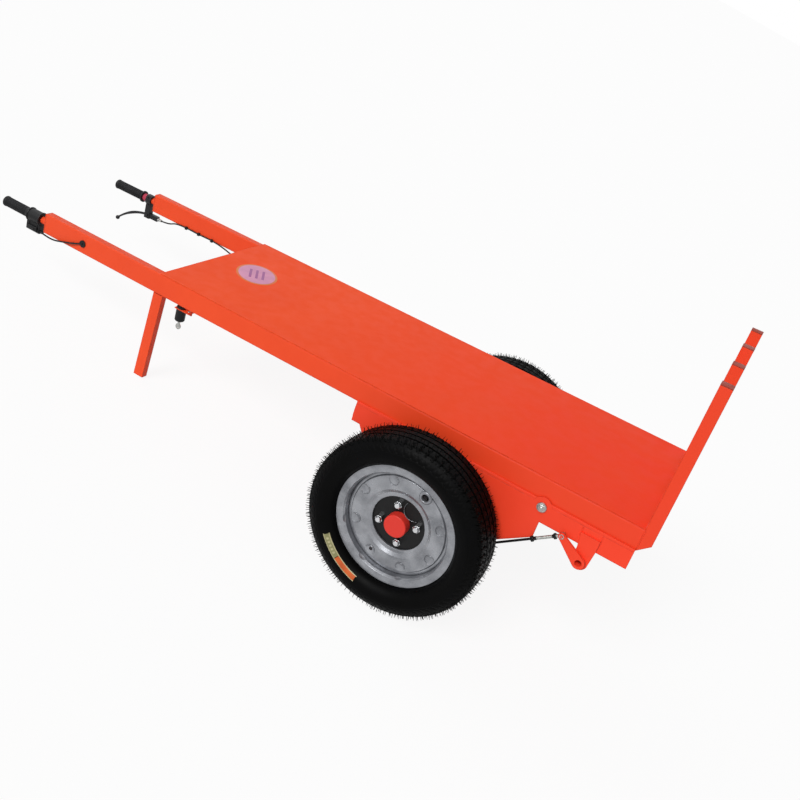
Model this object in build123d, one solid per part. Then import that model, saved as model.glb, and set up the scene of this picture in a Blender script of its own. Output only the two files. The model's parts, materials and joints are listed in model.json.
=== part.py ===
from build123d import *
import math
import os

os.makedirs("parts", exist_ok=True)

# All lengths are millimetres. The cart is drawn in a deck frame: +X runs forward to the tines,
# +Y to the operator's left hand, +Z square to the deck, and the origin is on the wheel axle.
# The finished pieces are then pitched and lifted so that tyres and legs stand on the floor.

# deck
rail_height = 63.0
rail_width = 30.0
rail_wall = 2.0
rail_corner = 4.0
rail_bottom = 210.0
deck_width = 530.0
deck_length = 1514.0
deck_front = 554.0
handle_length = 455.0
sheet_thickness = 3.0
member_size = 30.0
member_wall = 2.0
member_pitch = 375.0
member_count = 4
tine_size = 30.0
tine_wall = 3.0
tine_height = 405.0
tine_count = 4
vent_radius = 3.0
leg_width = 34.0
leg_depth = 20.0
leg_wall = 2.0
leg_inset = 6.0
leg_rake = 17.0
leg_drop = 285.0

# handles
bar_radius = 11.1
bar_wall = 2.0
bar_reach = 181.0
bar_tail = 50.0
plate_thickness = 3.0
grip_radius = 16.0
grip_cap = 4.0
grip_groove = 1.2
grip_groove_count = 9
shaft_clearance = 0.05
throttle_gap = 25.0
throttle_length = 52.0
throttle_radius = 20.0
throttle_drop = 46.0
throttle_block_width = 26.0
flange_radius = 20.0
flange_thickness = 6.0
grip_left_length = 123.0
perch_gap = 18.0
perch_length = 22.0
perch_ring_radius = 18.0
perch_width = 18.0
perch_nose_length = 35.0
perch_nose_half = 8.0
lever_drop = 56.0
lever_pin_radius = 3.0
lever_eye_radius = 9.0
lever_thickness = 8.0
lever_blade = 9.0
lever_mid_back = 60.0
lever_mid_drop = 15.0
lever_end_back = 132.0
lever_end_drop = 64.0
lever_ball_radius = 7.5
adjuster_radius = 4.5
adjuster_length = 16.0
cable_radius = 2.5
cable_gap = 0.6
grommet_radius = 9.0
grommet_lip = 3.0
wire_grommet_back = 298.0
cable_grommet_in = 72.0
clip_length = 8.0
clip_height = 10.0
clip_places = (0.341, 0.462, 0.589)

# key switch
key_inset = 87.0
switch_radius = 15.0
switch_neck = 11.0
switch_length = 39.0
switch_head = 4.0
switch_gap = 6.0
bracket_thickness = 3.0
bracket_reach = 38.0
bracket_drop = 20.0
plug_radius = 6.0
plug_depth = 13.0
key_length = 28.0
key_bow_radius = 9.0
key_thickness = 2.5

# chassis and tilt hinge
side_gap = 2.0
side_thickness = 4.0
side_rear = 250.0
side_top_gap = 3.0
strip_height = 52.0
web_rear = 224.0
web_front = 318.0
web_foot = 44.0
web_foot_rear = 95.0
pivot_x = 310.0
pivot_drop = 12.0
ear_radius = 27.0
pin_radius = 8.0
pin_head_radius = 13.0
pin_head_thickness = 5.0
lug_thickness = 10.0
lug_radius = 16.0
clip_ring_radius = 11.0
clip_ring_thickness = 2.0
rest_tube_size = 40.0
rest_tube_wall = 2.5
rest_gap = 0.2
rest_pad_height = 7.8
tray_thickness = 3.0
tray_drop = 50.0
tray_front = 300.0
tray_lip = 20.0

# power pack
box_length = 320.0
box_width = 340.0
box_height = 84.0
box_wall = 3.0
box_from_rear = 60.0
lid_thickness = 4.0
lid_overhang = 4.0
pack_clearance = 1.0
pack_height = 70.0
controller_length = 110.0
controller_width = 120.0
controller_height = 42.0
controller_gap = 22.0
fin_count = 8
fin_depth = 8.0
fin_width = 5.0

# axle and wheels
wheel_gap = 15.5
tyre_radius = 254.0
tyre_half_width = 67.5
tread_half_width = 47.0
tread_drop = 3.0
groove_width = 6.0
groove_depth = 6.0
groove_pitch = 23.0
rim_half_width = 38.0
rim_flange_radius = 173.0
rim_flange_thickness = 3.5
bead_radius = 152.0
well_radius = 140.0
rim_wall = 3.0
disc_face = 19.0
disc_wall = 5.0
disc_ring_outer = 136.0
disc_ring_inner = 98.0
disc_bore = 77.0
dimple_count = 8
dimple_radius = 124.0
dimple_ball = 30.0
dimple_depth = 4.0
balance_hole_radius = 5.0
valve_angle = 67.5
valve_radius = 5.5
valve_cap = 1.0
valve_root_radius = 146.0
valve_root_offset = -9.0
valve_tip_radius = 126.0
valve_tip_offset = 25.0
valve_hole_radius = 9.5
valve_lip_radius = 13.0
valve_lip_wire = 3.5
axle_end_inset = 60.0
axle_tube_radius = 30.0
axle_tube_wall = 5.0
axle_flange_radius = 45.0
axle_flange_thickness = 6.0
gear_case_width = 54.0
gear_case_radius = 62.0
motor_radius = 68.0
motor_length = 140.0
motor_back = 115.0
motor_up = 20.0
motor_fin_count = 10
bearing_length = 26.0
shaft_radius = 14.0
shaft_overhang = 18.0
shaft_inner = 8.0
hub_flange_radius = 68.0
hub_flange_thickness = 8.0
stud_circle = 55.0
stud_count = 4
stud_angle = 106.0
stud_radius = 6.0
stud_length = 14.0
nut_across = 19.0
nut_height = 11.0
nut_dome = 6.0
cap_radius = 32.0
cap_height = 27.0
cap_wall = 2.5
drum_radius = 88.0
drum_wall = 8.0
drum_web = 8.0
adjuster_hole_radius = 15.0
adjuster_hole_depth = 5.0
adjuster_hole_circle = 52.0
drum_gap = 3.0
back_plate_radius = 91.0
back_plate_thickness = 3.0
shoe_gap = 1.2
shoe_depth = 18.0
shoe_width = 38.0
shoe_clearance = 0.3
anchor_radius = 8.0
cam_radius = 6.0
cam_block = 9.0
cam_block_half = 6.0
shoe_gap_half = 15.0

# brake cross shaft, arms and rods
cross_x = 448.0
cross_z = 112.0
cross_radius = 15.0
cross_bore = 9.0
lobe_thickness = 5.0
lobe_radius = 22.0
lobe_rear = 26.0
lobe_front = 26.0
lobe_rise = 78.0
arm_gap = 3.0
arm_thickness = 6.0
arm_back = 63.0
arm_rise = 45.0
arm_tip_radius = 9.0
pull_arm_y = 190.0
pull_arm_length = 55.0
eye_thickness = 5.0
eye_radius = 8.0
eye_pin_radius = 4.0
rod_radius = 3.25
rod_end_x = 112.0
rod_end_z = -60.0
rod_tail = 24.0
rod_nut_across = 9.0
rod_nut_length = 9.0
web_clearance = 3.0
cam_arm_length = 68.0
cam_arm_width = 14.0
cam_arm_thickness = 4.0
cam_arm_gap = 1.0
tab_thickness = 5.0
tab_half_height = 9.0
tab_hole_radius = 6.0

# values that follow from the sizes above
deck_rear = deck_front - deck_length
rail_rear = deck_rear - handle_length
half_deck = deck_width / 2
half_track = half_deck + wheel_gap + tyre_half_width
rail_inner = half_deck - rail_width
rail_y = half_deck - rail_width / 2
rail_top = rail_bottom + rail_height
rail_z = rail_bottom + rail_height / 2
sheet_top = rail_top + sheet_thickness
side_inner = half_deck + side_gap
side_outer = side_inner + side_thickness
side_top = rail_bottom - side_top_gap
strip_bottom = side_top - strip_height
pivot_z = rail_bottom - pivot_drop
tray_z = strip_bottom - tray_drop
bar_end = rail_rear - bar_reach
lobe_outer = side_outer + lobe_thickness
arm_inner = lobe_outer + arm_gap
arm_outer = arm_inner + arm_thickness


def block(x0, x1, y0, y1, z0, z1):
    return Pos((x0 + x1) / 2, (y0 + y1) / 2, (z0 + z1) / 2) * Box(x1 - x0, y1 - y0, z1 - z0)


def round_x(y, z, radius, x0, x1):
    return Pos((x0 + x1) / 2, y, z) * Rot(0, 90, 0) * Cylinder(radius, x1 - x0)


def round_y(x, z, radius, y0, y1):
    return Pos(x, (y0 + y1) / 2, z) * Rot(90, 0, 0) * Cylinder(radius, abs(y1 - y0))


def round_z(x, y, radius, z0, z1):
    return Pos(x, y, (z0 + z1) / 2) * Cylinder(radius, z1 - z0)


def side_plate(points, y0, y1):
    """A flat plate in the XZ plane, from y0 to y1."""
    face = Face(Wire.make_polygon([Vector(x, y0, z) for x, z in points], close=True))
    return Part() + Solid.extrude(face, Vector(0, y1 - y0, 0))


def section_tube(length, width, height, wall, corner):
    """A rectangular tube along X, with rounded corners, centred on the origin."""
    outer = Box(length, width, height)
    outer = fillet(outer.edges().filter_by(Axis.X), corner)
    inner = Box(length + 2, width - 2 * wall, height - 2 * wall)
    inner = fillet(inner.edges().filter_by(Axis.X), max(corner - wall, 0.5))
    return outer - inner


def pill(xa, za, ra, xb, zb, rb, y0, y1):
    """A link plate: two round ends joined by their outer tangents."""
    run = math.hypot(xb - xa, zb - za)
    heading = math.atan2(zb - za, xb - xa)
    spread = math.acos((ra - rb) / run)
    points = []
    for x, z, r, turns in ((xa, za, ra, (spread, -spread)), (xb, zb, rb, (-spread, spread))):
        for turn in turns:
            points.append((x + r * math.cos(heading + turn), z + r * math.sin(heading + turn)))
    web = side_plate(points, y0, y1)
    return web + round_y(xa, za, ra, y0, y1) + round_y(xb, zb, rb, y0, y1)


def mirrored(shape):
    return mirror(shape, about=Plane.XZ)


def spun(points, y0):
    """A closed ring about the axle line from points of (offset outboard, radius), right-hand side."""
    face = Face(Wire.make_polygon([Vector(r, y0 - o, 0) for o, r in points], close=True))
    return Part() + revolve(face, axis=Axis.Y)


low = (Align.CENTER, Align.CENTER, Align.MIN)
pieces = {}
mid_plane = -half_track

# deck frame
rail = Pos((rail_rear + deck_front) / 2, -rail_y, rail_z) * section_tube(
    deck_front - rail_rear, rail_width, rail_height, rail_wall, rail_corner)
wire_hole_x = deck_rear - wire_grommet_back
cable_hole_x = deck_rear + cable_grommet_in
wire_hole = round_y(wire_hole_x, rail_z, grommet_radius, -half_deck - 1, -half_deck + rail_wall + 1)
cable_hole_z = rail_bottom + rail_height / 4
cable_hole = round_y(cable_hole_x, cable_hole_z, grommet_radius, rail_inner - 1, rail_inner + rail_wall + 1)
pieces["rail_right"] = rail - wire_hole
pieces["rail_left"] = mirrored(rail) - cable_hole

pieces["deck_sheet"] = block(deck_rear, deck_front, -half_deck, half_deck, rail_top, sheet_top)

members = []
for index in range(member_count):
    member = section_tube(2 * rail_inner, member_size, member_size, member_wall, member_wall)
    x = deck_rear + member_size / 2 + index * member_pitch
    members.append(Pos(x, 0, rail_top - member_size / 2) * Rot(0, 0, 90) * member)
beam = section_tube(2 * rail_inner, rail_width, rail_height, rail_wall, rail_wall)
members.append(Pos(deck_front - rail_width / 2, 0, rail_z) * Rot(0, 0, 90) * beam)
pieces["cross_members"] = members

tine_top = sheet_top + tine_height
tine_pitch = (deck_width - tine_size) / (tine_count - 1)
tine_names = ["tine_outer_right", "tine_inner_right", "tine_inner_left", "tine_outer_left"]
for index, name in enumerate(tine_names):
    y = -half_deck + tine_size / 2 + index * tine_pitch
    foot = [(deck_front, rail_bottom), (deck_front + tine_size, rail_bottom + tine_size),
            (deck_front + tine_size, tine_top), (deck_front, tine_top)]
    bar = side_plate(foot, y - tine_size / 2, y + tine_size / 2)
    cavity = block(deck_front + tine_wall, deck_front + tine_size - tine_wall,
                   y - tine_size / 2 + tine_wall, y + tine_size / 2 - tine_wall,
                   rail_bottom + tine_size + tine_wall, tine_top - tine_wall)
    vent = round_z(deck_front + tine_size / 2, y, vent_radius, rail_bottom, rail_bottom + 2 * tine_size)
    pieces[name] = bar - cavity - vent

leg_x = deck_rear + leg_inset
foot_z = rail_bottom - leg_drop
half_leg = leg_width / 2
leg_shape = [(leg_x - half_leg, rail_bottom), (leg_x + half_leg, rail_bottom),
             (leg_x + half_leg - leg_rake, foot_z), (leg_x - half_leg - leg_rake, foot_z)]
below = 5.0
slope = leg_rake / leg_drop
leg_hollow = [(leg_x - half_leg + leg_wall, rail_bottom), (leg_x + half_leg - leg_wall, rail_bottom),
              (leg_x + half_leg - leg_wall - leg_rake - slope * below, foot_z - below),
              (leg_x - half_leg + leg_wall - leg_rake - slope * below, foot_z - below)]
leg = side_plate(leg_shape, -half_deck, -half_deck + leg_depth)
leg = leg - side_plate(leg_hollow, -half_deck + leg_wall, -half_deck + leg_depth - leg_wall)
pieces["leg_right"] = leg
pieces["leg_left"] = mirrored(leg)

# handle bars with their end plates
bar = round_x(-rail_y, rail_z, bar_radius, bar_end, rail_rear + bar_tail)
end_plate = block(rail_rear - plate_thickness, rail_rear, -half_deck, -rail_inner, rail_bottom, rail_top)
end_plate = fillet(end_plate.edges().filter_by(Axis.X), rail_corner)
bar_weldment = bar + end_plate
bar_weldment = bar_weldment - round_x(-rail_y, rail_z, bar_radius - bar_wall, bar_end - 1, rail_rear + bar_tail + 1)
pieces["handle_bar_right"] = bar_weldment
pieces["handle_bar_left"] = mirrored(bar_weldment)


def grip_body(x0, x1, side, bore):
    """A rubber grip with a closed outer end and shallow ring grooves."""
    shape = round_x(side * rail_y, rail_z, grip_radius, x0 - grip_cap, x1)
    shape = fillet(shape.edges().group_by(Axis.X)[0], grip_cap / 2)
    pitch = (x1 - x0) / (grip_groove_count + 1)
    for k in range(grip_groove_count):
        x = x0 + (k + 1) * pitch
        band = round_x(side * rail_y, rail_z, grip_radius + 1, x - pitch / 6, x + pitch / 6)
        band = band - round_x(side * rail_y, rail_z, grip_radius - grip_groove, x - pitch / 5, x + pitch / 5)
        shape = shape - band
    return shape - round_x(side * rail_y, rail_z, bore, x0, x1 + 1)


housing_front = rail_rear - throttle_gap
housing_rear = housing_front - throttle_length
pieces["throttle_grip"] = grip_body(bar_end - 0.5, housing_rear - 0.5, -1, bar_radius + shaft_clearance)

housing = round_x(-rail_y, rail_z, throttle_radius, housing_rear, housing_front)
housing = housing + block(housing_rear, housing_front, -rail_y - throttle_block_width / 2,
                          -rail_y + throttle_block_width / 2, rail_z - throttle_drop, rail_z)
housing = fillet(housing.edges().filter_by(Axis.X).group_by(Axis.Z)[0], 4)
housing = housing - round_x(-rail_y, rail_z, bar_radius, housing_rear - 1, housing_front + 1)
pieces["throttle_housing"] = housing

left_rear = bar_end
left_front = left_rear + grip_left_length
left_grip = grip_body(left_rear, left_front - flange_thickness, 1, bar_radius)
left_flange = round_x(rail_y, rail_z, flange_radius, left_front - flange_thickness, left_front)
left_flange = left_flange - round_x(rail_y, rail_z, bar_radius, left_rear, left_front + 1)
pieces["grip_left"] = left_grip + left_flange

# brake hand lever and its perch
clamp_front = rail_rear - perch_gap
clamp_rear = clamp_front - perch_length
lever_x = clamp_rear + perch_length / 2
lever_z = rail_z - lever_drop
half_perch = perch_width / 2
perch = round_x(rail_y, rail_z, perch_ring_radius, clamp_rear, clamp_front)
perch = perch + block(clamp_rear, clamp_front, rail_y - half_perch, rail_y + half_perch,
                      lever_z - lever_eye_radius - 2, rail_z)
nose_end = clamp_front + perch_nose_length
perch = perch + block(clamp_front, nose_end, rail_y - half_perch + 2, rail_y + half_perch - 2,
                      lever_z - perch_nose_half, lever_z + perch_nose_half)
perch = perch - round_x(rail_y, rail_z, bar_radius, clamp_rear - 1, clamp_front + 1)
slot_half = lever_thickness / 2 + shaft_clearance
slot_end = lever_x + lever_eye_radius + 1
perch = perch - block(clamp_rear - 5, slot_end, rail_y - slot_half, rail_y + slot_half,
                      lever_z - lever_eye_radius - 5, lever_z + lever_eye_radius + 6)
perch = perch - round_y(lever_x, lever_z, lever_pin_radius, rail_y - half_perch - 1, rail_y + half_perch + 1)
pivot_screw = round_y(lever_x, lever_z, lever_pin_radius, rail_y - half_perch, rail_y + half_perch)
pivot_screw = pivot_screw + round_y(lever_x, lever_z, lever_pin_radius + 2.5,
                                    rail_y - half_perch - 3, rail_y - half_perch)
pieces["brake_perch"] = [perch, pivot_screw]

mid = (lever_x - lever_mid_back, lever_z - lever_mid_drop)
end = (lever_x - lever_end_back, lever_z - lever_end_drop)
start = (lever_x, lever_z)


def circle_through(a, b, c):
    d = 2 * (a[0] * (b[1] - c[1]) + b[0] * (c[1] - a[1]) + c[0] * (a[1] - b[1]))
    sa, sb, sc = (p[0] ** 2 + p[1] ** 2 for p in (a, b, c))
    x = (sa * (b[1] - c[1]) + sb * (c[1] - a[1]) + sc * (a[1] - b[1])) / d
    z = (sa * (c[0] - b[0]) + sb * (a[0] - c[0]) + sc * (b[0] - a[0])) / d
    return x, z


bend_x, bend_z = circle_through(start, mid, end)
blade_y = rail_y - lever_thickness / 2


def on_blade(point, offset):
    reach = math.hypot(point[0] - bend_x, point[1] - bend_z)
    scale = (reach + offset) / reach
    return Vector(bend_x + (point[0] - bend_x) * scale, blade_y, bend_z + (point[1] - bend_z) * scale)


half_blade = lever_blade / 2
blade_edges = [
    ThreePointArc(on_blade(start, half_blade), on_blade(mid, half_blade), on_blade(end, half_blade)),
    Line(on_blade(end, half_blade), on_blade(end, -half_blade)),
    ThreePointArc(on_blade(end, -half_blade), on_blade(mid, -half_blade), on_blade(start, -half_blade)),
    Line(on_blade(start, -half_blade), on_blade(start, half_blade)),
]
blade = Part() + Solid.extrude(Face(Wire(blade_edges)), Vector(0, lever_thickness, 0))
lever = blade + round_y(lever_x, lever_z, lever_eye_radius, rail_y - lever_thickness / 2,
                        rail_y + lever_thickness / 2)
lever = lever + Pos(end[0], rail_y, end[1]) * Rot(90, 0, 0) * Sphere(lever_ball_radius)
lever = lever - round_y(lever_x, lever_z, lever_pin_radius + shaft_clearance, rail_y - 20, rail_y + 20)
pieces["brake_lever"] = lever

adjuster = round_x(rail_y, lever_z, adjuster_radius, nose_end, nose_end + adjuster_length)
adjuster = adjuster + round_x(rail_y, lever_z, adjuster_radius + 1.5, nose_end, nose_end + adjuster_length / 3)
pieces["barrel_adjuster"] = adjuster


def cord(points, radius):
    """A round cord along straight runs joined by arcs as large as the runs allow."""
    vectors = [Vector(*p) for p in points]
    radii = []
    for a, b, c in zip(vectors, vectors[1:], vectors[2:]):
        before = b - a
        after = c - b
        turn = math.radians(before.get_angle(after))
        radii.append(0.45 * min(before.length, after.length) / math.tan(turn / 2))
    path = FilletPolyline(*vectors, radius=radii)
    first = path.edges()[0]
    plane = Plane(origin=first @ 0, z_dir=first % 0)
    tube = sweep(plane * Circle(radius), path=path)
    expected = math.pi * radius ** 2 * path.length
    print("cord", len(points), "points, least arc", round(min(radii), 1), "volume share",
          round(tube.volume / expected, 4))
    return tube


# throttle wire into the right rail: shares of the way to its hole, then radii out from the rail and up from its foot
wire_route = [(housing_front + cable_gap, -rail_y - 2.4 * cable_radius, rail_bottom - 2.8 * cable_radius)]
for share, out, up in ((0.013, -1.4, -3.0), (0.293, 2.4, -1.2), (0.535, 2.8, 3.2), (0.752, 3.0, 7.2)):
    wire_route.append((rail_rear + share * (wire_hole_x - rail_rear), -half_deck - out * cable_radius,
                       rail_bottom + up * cable_radius))
wire_route.append((wire_hole_x, -half_deck - cable_radius, rail_z))
throttle_cable = cord(wire_route, cable_radius)
pieces["throttle_cable"] = throttle_cable

# brake cable along the inside of the left rail: shares of the handle's length, then radii off the rail and up
cable_y = rail_inner - 1.2 * cable_radius
cable_route = [(nose_end + adjuster_length + cable_gap, rail_y, lever_z),
               (nose_end + 3.25 * adjuster_length, rail_y - 1.6 * cable_radius, lever_z + 1.6 * cable_radius)]
for share, off, up in ((0.237, 0.2, 0.4), (0.341, 0, 1.6), (0.462, 0.16, 1.0), (0.589, 0, 1.6), (0.699, 0.8, 0),
                       (0.796, 2.0, -3.6), (0.897, 3.2, -4.8), (1.011, 3.6, -1.6)):
    cable_route.append((rail_rear + share * handle_length, cable_y - off * cable_radius,
                        rail_bottom + up * cable_radius))
cable_route.append((cable_hole_x - 10 * cable_radius, cable_y - 3.2 * cable_radius, cable_hole_z - 2 * cable_radius))
cable_route.append((cable_hole_x, rail_inner - cable_radius, cable_hole_z))
brake_cable = cord(cable_route, cable_radius)
pieces["brake_cable"] = brake_cable


def grommet(x, z, y_skin, inward, hold):
    """A rubber grommet in a rail wall; inward is the sign of the way into the rail."""
    lip = grommet_lip
    ring = round_y(x, z, grommet_radius, y_skin, y_skin + inward * rail_wall)
    ring = ring + round_y(x, z, grommet_radius + 2, y_skin - inward * lip, y_skin)
    ring = ring + round_y(x, z, grommet_radius + 1, y_skin + inward * rail_wall,
                          y_skin + inward * (rail_wall + lip))
    return ring - hold


pieces["grommets"] = [grommet(wire_hole_x, rail_z, -half_deck, 1, throttle_cable),
                      grommet(cable_hole_x, cable_hole_z, rail_inner, 1, brake_cable)]

clips = []
for share in clip_places:
    x = rail_rear + share * handle_length
    clip_z = rail_bottom + 1.2 * cable_radius
    clip = block(x - clip_length / 2, x + clip_length / 2, cable_y - 1.6 * cable_radius, rail_inner,
                 clip_z - clip_height / 2, clip_z + clip_height / 2)
    clips.append(clip - brake_cable)
pieces["cable_clips"] = clips

# key switch under the right rail
key_x = deck_rear + key_inset
switch_top = rail_bottom - switch_gap
ring_z = switch_top - switch_head
bracket = block(key_x - switch_radius, key_x + bracket_reach, -rail_y - switch_radius, -rail_y + switch_radius,
                ring_z - bracket_thickness, ring_z)
bracket = bracket + block(key_x + bracket_reach - 22, key_x + bracket_reach, -rail_y - 2, -rail_y + 2,
                          rail_bottom - bracket_drop, rail_bottom)
bracket = bracket - round_z(key_x, -rail_y, switch_neck, ring_z - 10, ring_z + 1)
pieces["key_bracket"] = bracket
body_top = ring_z - bracket_thickness
body_low = body_top - switch_length
switch = round_z(key_x, -rail_y, switch_radius, body_low, body_top)
switch = fillet(switch.edges().group_by(Axis.Z)[0], 5)
switch = switch + round_z(key_x, -rail_y, switch_neck, body_top, ring_z)
switch = switch + round_z(key_x, -rail_y, switch_radius, ring_z, switch_top)
switch = switch - round_z(key_x, -rail_y, plug_radius + shaft_clearance, body_low - 1, body_low + plug_depth)
pieces["key_switch"] = switch
key = round_z(key_x, -rail_y, plug_radius, body_low - 1, body_low + plug_depth - 0.5)
key = key + block(key_x - 4, key_x + 4, -rail_y - key_thickness / 2, -rail_y + key_thickness / 2,
                  body_low - key_length + key_bow_radius, body_low - 0.5)
key = key + round_y(key_x, body_low - key_length + key_bow_radius, key_bow_radius,
                    -rail_y - key_thickness / 2, -rail_y + key_thickness / 2)
key = key - round_y(key_x, body_low - key_length + key_bow_radius / 2, 2.2, -rail_y - 5, -rail_y + 5)
pieces["ignition_key"] = key

# tilt hinge: lugs on the deck, pins on the chassis
lug = round_y(pivot_x, pivot_z, lug_radius, -half_deck, -half_deck + lug_thickness)
lug = lug + side_plate([(pivot_x - 1.5 * lug_radius, rail_bottom), (pivot_x + 1.5 * lug_radius, rail_bottom),
                        (pivot_x + lug_radius * 0.7, pivot_z - lug_radius * 0.7),
                        (pivot_x - lug_radius * 0.7, pivot_z - lug_radius * 0.7)],
                       -half_deck, -half_deck + lug_thickness)
lug = lug - block(pivot_x - 50, pivot_x + 50, -half_deck - 1, -half_deck + lug_thickness + 1,
                  rail_bottom, rail_bottom + 40)
lug = lug - round_y(pivot_x, pivot_z, pin_radius + shaft_clearance, -half_deck - 1, -rail_inner)
pieces["hinge_lugs"] = [lug, mirrored(lug)]

lug_inner = half_deck - lug_thickness
clip_outer = lug_inner - 0.5
pin = round_y(pivot_x, pivot_z, pin_radius, -side_outer, -clip_outer + clip_ring_thickness + 2)
pin = pin + round_y(pivot_x, pivot_z, pin_head_radius, -side_outer - pin_head_thickness, -side_outer)
clip_ring = round_y(pivot_x, pivot_z, clip_ring_radius, -clip_outer, -clip_outer + clip_ring_thickness)
groove = clip_ring - round_y(pivot_x, pivot_z, pin_radius - 1, -clip_outer - 1, -clip_outer + 5)
pin = pin - groove
pieces["hinge_pins"] = [pin, mirrored(pin), groove, mirrored(groove)]

# brake rod line, which the chassis web is cut back from
arm_x = cross_x - arm_back
arm_z = cross_z + arm_rise
rod_run_x = arm_x - rod_end_x
rod_run_z = arm_z - rod_end_z
rod_length = math.hypot(rod_run_x, rod_run_z)
rod_slope = rod_run_z / rod_run_x
rod_heading = math.degrees(math.atan2(rod_run_z, rod_run_x))


web_corner_z = rod_end_z + (web_front - rod_end_x) * rod_slope + web_clearance
side_shape = [(-side_rear, side_top), (deck_front, side_top), (deck_front, strip_bottom),
              (web_front, strip_bottom), (web_front, web_corner_z),
              (rod_end_x, -web_foot), (-web_foot_rear, -web_foot),
              (-web_rear, strip_bottom), (-side_rear, strip_bottom)]
side = side_plate(side_shape, -side_outer, -side_inner)
side = side + round_y(pivot_x, pivot_z, ear_radius, -side_outer, -side_inner)
side = side - round_y(pivot_x, pivot_z, pin_radius, -side_outer - 1, -side_inner + 1)
side = side - round_y(0, 0, axle_tube_radius, -side_outer - 1, -side_inner + 1)
pieces["chassis_side_right"] = side
pieces["chassis_side_left"] = mirrored(side)

rest_top = rail_bottom - rest_gap - rest_pad_height
rest_tube = section_tube(2 * side_inner, rest_tube_size, rest_tube_size, rest_tube_wall, rest_tube_wall)
rest_x = -side_rear + rest_tube_size / 2
pieces["rest_tube"] = Pos(rest_x, 0, rest_top - rest_tube_size / 2) * Rot(0, 0, 90) * rest_tube
pads = []
for sign in (-1, 1):
    pads.append(block(rest_x - rest_tube_size / 2, rest_x + rest_tube_size / 2, sign * rail_y - rail_width / 2,
                      sign * rail_y + rail_width / 2, rest_top, rest_top + rest_pad_height))
pieces["rest_pads"] = pads

tray_rear = -web_rear + (strip_bottom - tray_z) * (web_rear - web_foot_rear) / (strip_bottom + web_foot)
tray = block(tray_rear, tray_front, -side_inner, side_inner, tray_z, tray_z + tray_thickness)
tray = tray + block(tray_front - tray_thickness, tray_front, -side_inner, side_inner, tray_z, tray_z + tray_lip)
tray = tray + block(tray_rear, tray_rear + tray_thickness, -side_inner, side_inner, tray_z, tray_z + tray_lip)
pieces["chassis_tray"] = tray

floor_z = tray_z + tray_thickness
box_rear = -side_rear + box_from_rear + (tray_rear + web_rear)
box_rear = max(box_rear, tray_rear + tray_thickness + 1)
box_front = box_rear + box_length
half_box = box_width / 2
case = block(box_rear, box_front, -half_box, half_box, floor_z, floor_z + box_height)
case = fillet(case.edges().filter_by(Axis.Z), 10)
inside = block(box_rear + box_wall, box_front - box_wall, -half_box + box_wall, half_box - box_wall,
               floor_z + box_wall, floor_z + box_height + 1)
inside = fillet(inside.edges().filter_by(Axis.Z), 7)
pieces["battery_box"] = case - inside
lid = block(box_rear - lid_overhang, box_front + lid_overhang, -half_box - lid_overhang, half_box + lid_overhang,
            floor_z + box_height, floor_z + box_height + lid_thickness)
lid = fillet(lid.edges().filter_by(Axis.Z), 12)
pieces["battery_lid"] = lid
pack_off = box_wall + pack_clearance
pack = block(box_rear + pack_off, box_front - pack_off, -half_box + pack_off, half_box - pack_off,
             floor_z + box_wall, floor_z + box_wall + pack_height)
pieces["battery_pack"] = fillet(pack.edges().filter_by(Axis.Z), 7)

controller_x = box_front + controller_gap
controller = block(controller_x, controller_x + controller_length, -controller_width / 2, controller_width / 2,
                   floor_z, floor_z + controller_height)
fin_pitch = controller_width / fin_count
for k in range(fin_count):
    y = -controller_width / 2 + (k + 0.5) * fin_pitch
    controller = controller - block(controller_x - 1, controller_x + controller_length + 1,
                                    y - fin_width / 2, y + fin_width / 2,
                                    floor_z + controller_height - fin_depth, floor_z + controller_height + 1)
pieces["motor_controller"] = controller

# axle housing, motor, half shafts
flange_face = -half_track + axle_end_inset
back_face = flange_face - back_plate_thickness
half_tube = round_y(0, 0, axle_tube_radius, flange_face, 0)
half_tube = half_tube + round_y(0, 0, axle_flange_radius, flange_face, flange_face + axle_flange_thickness)
case_half = gear_case_width / 2
gear_case = pill(0, 0, gear_case_radius, -motor_back, motor_up, gear_case_radius - 4, -case_half, case_half)
housing_shape = half_tube + mirrored(half_tube) + gear_case
inner_bore = axle_tube_radius - axle_tube_wall
bore_half = -flange_face - bearing_length
housing_shape = housing_shape - round_y(0, 0, inner_bore, -bore_half, bore_half)
housing_shape = housing_shape - round_y(0, 0, shaft_radius + shaft_clearance, flange_face - 1, -flange_face + 1)
pieces["axle_housing"] = housing_shape
motor = round_y(-motor_back, motor_up, motor_radius, case_half, case_half + motor_length)
for k in range(motor_fin_count):
    y = case_half + 16 + k * (motor_length - 32) / (motor_fin_count - 1)
    ring = round_y(-motor_back, motor_up, motor_radius + 1, y - 3, y + 3)
    ring = ring - round_y(-motor_back, motor_up, motor_radius - 4, y - 4, y + 4)
    motor = motor - ring
pieces["drive_motor"] = motor


def at(o):
    """The right-hand place of an offset outboard from the tyre's middle plane."""
    return mid_plane - o


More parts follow.
